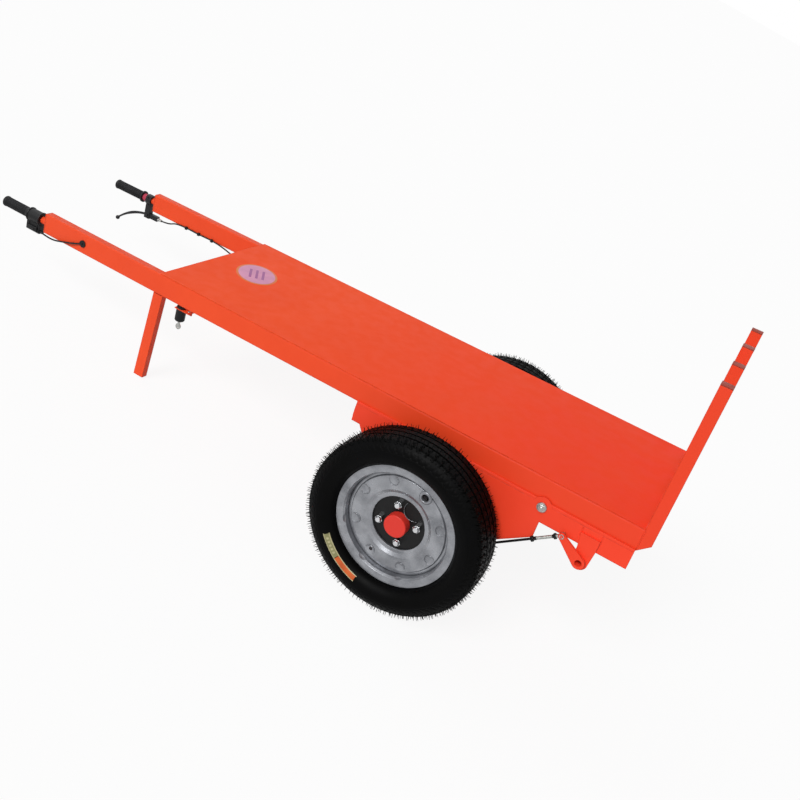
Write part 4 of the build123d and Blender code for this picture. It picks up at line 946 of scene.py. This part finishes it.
cross = joint_place("brake_shaft_turn")
for word, side in SIDES.items():
    arm_pin = joint_place("rod_" + word + "_swing")
    rod_low, rod_high = deck_box("brake_rod_" + word)
    rod_y = side * (abs(rod_low.y) + abs(rod_high.y)) / 2
    rod_tail = Vector((rod_low.x + 2, rod_y, rod_low.z + 2))
    rod_head = Vector((arm_pin.x, rod_y, arm_pin.z))
    heading = (rod_tail - rod_head).normalized()
    thread = threaded(62, 4.4, 3.2).moved(pointing(rod_head + heading * 20, heading))
    piece("rod_thread_" + word, thread, "rod_" + word, "zinc_steel", sharp=25)
    nodes["brake_rod_" + word].data.materials[0] = black_oxide
    nuts = Shape()
    for distance in (16, 79):
        nut = [(0, 3), (0, 7.4), (0.6, 7.9), (6.4, 7.9), (7, 7.4), (7, 3)]
        nuts += turned(nut, 6).moved(pointing(rod_head + heading * distance, heading))
    far_thread = threaded(44, 3.3, 2.6).moved(pointing(rod_tail - heading * 46, heading))
    piece("rod_nuts_" + word, nuts + far_thread, "rod_" + word, "zinc_steel", black_oxide, 25)
    arm_y = side * 285
    eye = [(-2.8, 4.3), (-2.8, 7.6), (-2, 8.4), (2, 8.4), (2.8, 7.6), (2.8, 4.3)]
    clevis = turned(eye, 36).moved(pointing((arm_pin.x, rod_y - side * 0.4, arm_pin.z), (0, side, 0)))
    shank = [(0, 0), (0, 4.2), (8, 4.8), (14, 4.8), (14, 0)]
    clevis += turned(shank, 28).moved(pointing(rod_head + heading * 6, heading))
    piece("rod_clevis_" + word, clevis, "rod_" + word, "zinc_steel")
    washer = turned([(0, 0), (0, 6.6), (1.2, 6.6), (1.4, 0)], 28)
    washer = washer.moved(pointing((arm_pin.x, arm_y, arm_pin.z), (0, side, 0)))
    pin_line = [(arm_pin.x + x, arm_y + side * y, arm_pin.z + z) for x, y, z in
                ((-5, 2.2, 1), (0, 2.2, 0), (6, 2.4, -2))]
    split_pin = tube(pin_line, [(0.9, 0.9)] * 3, (0, 1, 0), 8)
    piece("arm_pin_washer_" + word, washer + split_pin, "brake_shaft", "zinc_steel")
    collar = turned([(-3, 15.1), (-3, 17.6), (-0.4, 18), (-0.4, 15.1)], 40)
    collar = collar.moved(pointing((cross.x, side * 279, cross.z), (0, side, 0)))
    piece("shaft_collar_" + word, collar, "brake_shaft", "chassis_paint")

# battery box: ribs on the lid, and latches
lid_low, lid_high = deck_box("battery_lid")
box_low, box_high = deck_box("battery_box")
lid_ribs = Shape()
for share in (0.22, 0.5, 0.78):
    along = lid_low.x + (lid_high.x - lid_low.x) * share
    rib = bevelled_block((16, lid_high.y - lid_low.y - 30, 3), 1.2)
    lid_ribs += rib.moved(at(along, 0, lid_high.z + 1))
piece("lid_ribs", lid_ribs, "chassis", "black_plastic")
latches = Shape()
for along in (box_low.x + 60, box_high.x - 60):
    for side in (RIGHT, LEFT):
        latches += bevelled_block((26, 3, 34), 1).moved(at(along, side * (lid_high.y + 0.8), lid_low.z - 8))
        latches += bevelled_block((18, 3, 9), 1.2).moved(at(along, side * (lid_high.y + 2.6), lid_low.z - 20))
piece("box_latches", latches, "chassis", "zinc_steel")

# axle housing: bolts round the gear case and the flanges
case_bolts = Shape()
flange_face = abs(deck_box("axle_housing")[0].y) - 6
for index in range(8):
    for side in (RIGHT, LEFT):
        if side == LEFT and index in (2, 3, 4):
            continue
        place = spoke(52, math.radians(22.5 + 45 * index), side * 27)
        case_bolts += hexagon_bolt(9, 5).moved(pointing(place, (0, side, 0)))
for side in (RIGHT, LEFT):
    for index in range(6):
        place = spoke(37.5, math.radians(30 + 60 * index), side * flange_face)
        case_bolts += hexagon_bolt(7, 4).moved(pointing(place, (0, -side, 0)))
piece("case_bolts", case_bolts, "chassis", "zinc_steel")


# floor, light and camera

reach = 60
corners = [(-reach, -reach, 0), (reach, -reach, 0), (reach, reach, 0), (-reach, reach, 0)]
floor_mesh = bpy.data.meshes.new("studio_floor")
floor_mesh.from_pydata(corners, [], [(0, 1, 2, 3)])
floor_mesh.materials.append(plain_floor("studio_floor_paint"))
placed("studio_floor", floor_mesh)

world = bpy.data.worlds.new("studio")
world.use_nodes = True
world.node_tree.nodes.clear()
bpy.context.scene.world = world
sky = world.node_tree
soft = add(sky, "ShaderNodeBackground", {"Color": (1, 1, 1, 1), "Strength": 0.33})
white = add(sky, "ShaderNodeBackground", {"Color": (1, 1, 1, 1), "Strength": 1.0})
shown = add(sky, "ShaderNodeMixShader", {0: seen_directly(sky), 1: soft.outputs[0], 2: white.outputs[0]})
add(sky, "ShaderNodeOutputWorld", {"Surface": shown.outputs[0]})


def soft_sun(name, toward, strength, spread):
    """A broad far lamp, which lights the floor evenly out to its edge."""
    lamp = bpy.data.lights.new(name, "SUN")
    lamp.energy = strength
    lamp.angle = math.radians(spread)
    made = placed(name, lamp)
    made.rotation_euler = Vector(toward).to_track_quat("-Z", "Y").to_euler()


soft_sun("key_lamp", (0.24, 0.73, -0.63), 2.28, 24)
soft_sun("rear_fill_lamp", (0.8, -0.2, -0.5), 0.35, 40)

camera = placed("camera", bpy.data.cameras.new("camera"))
camera.location = (0.8632, -2.3285, 1.728)
camera.rotation_euler = [math.radians(angle) for angle in (57.1877, -25.2517, 31.0403)]
camera.data.sensor_width = 36
camera.data.lens = 42.1535
camera.data.shift_x = 0.02259
camera.data.shift_y = -0.02941
bpy.context.scene.camera = camera
bpy.context.scene.view_settings.view_transform = "Standard"
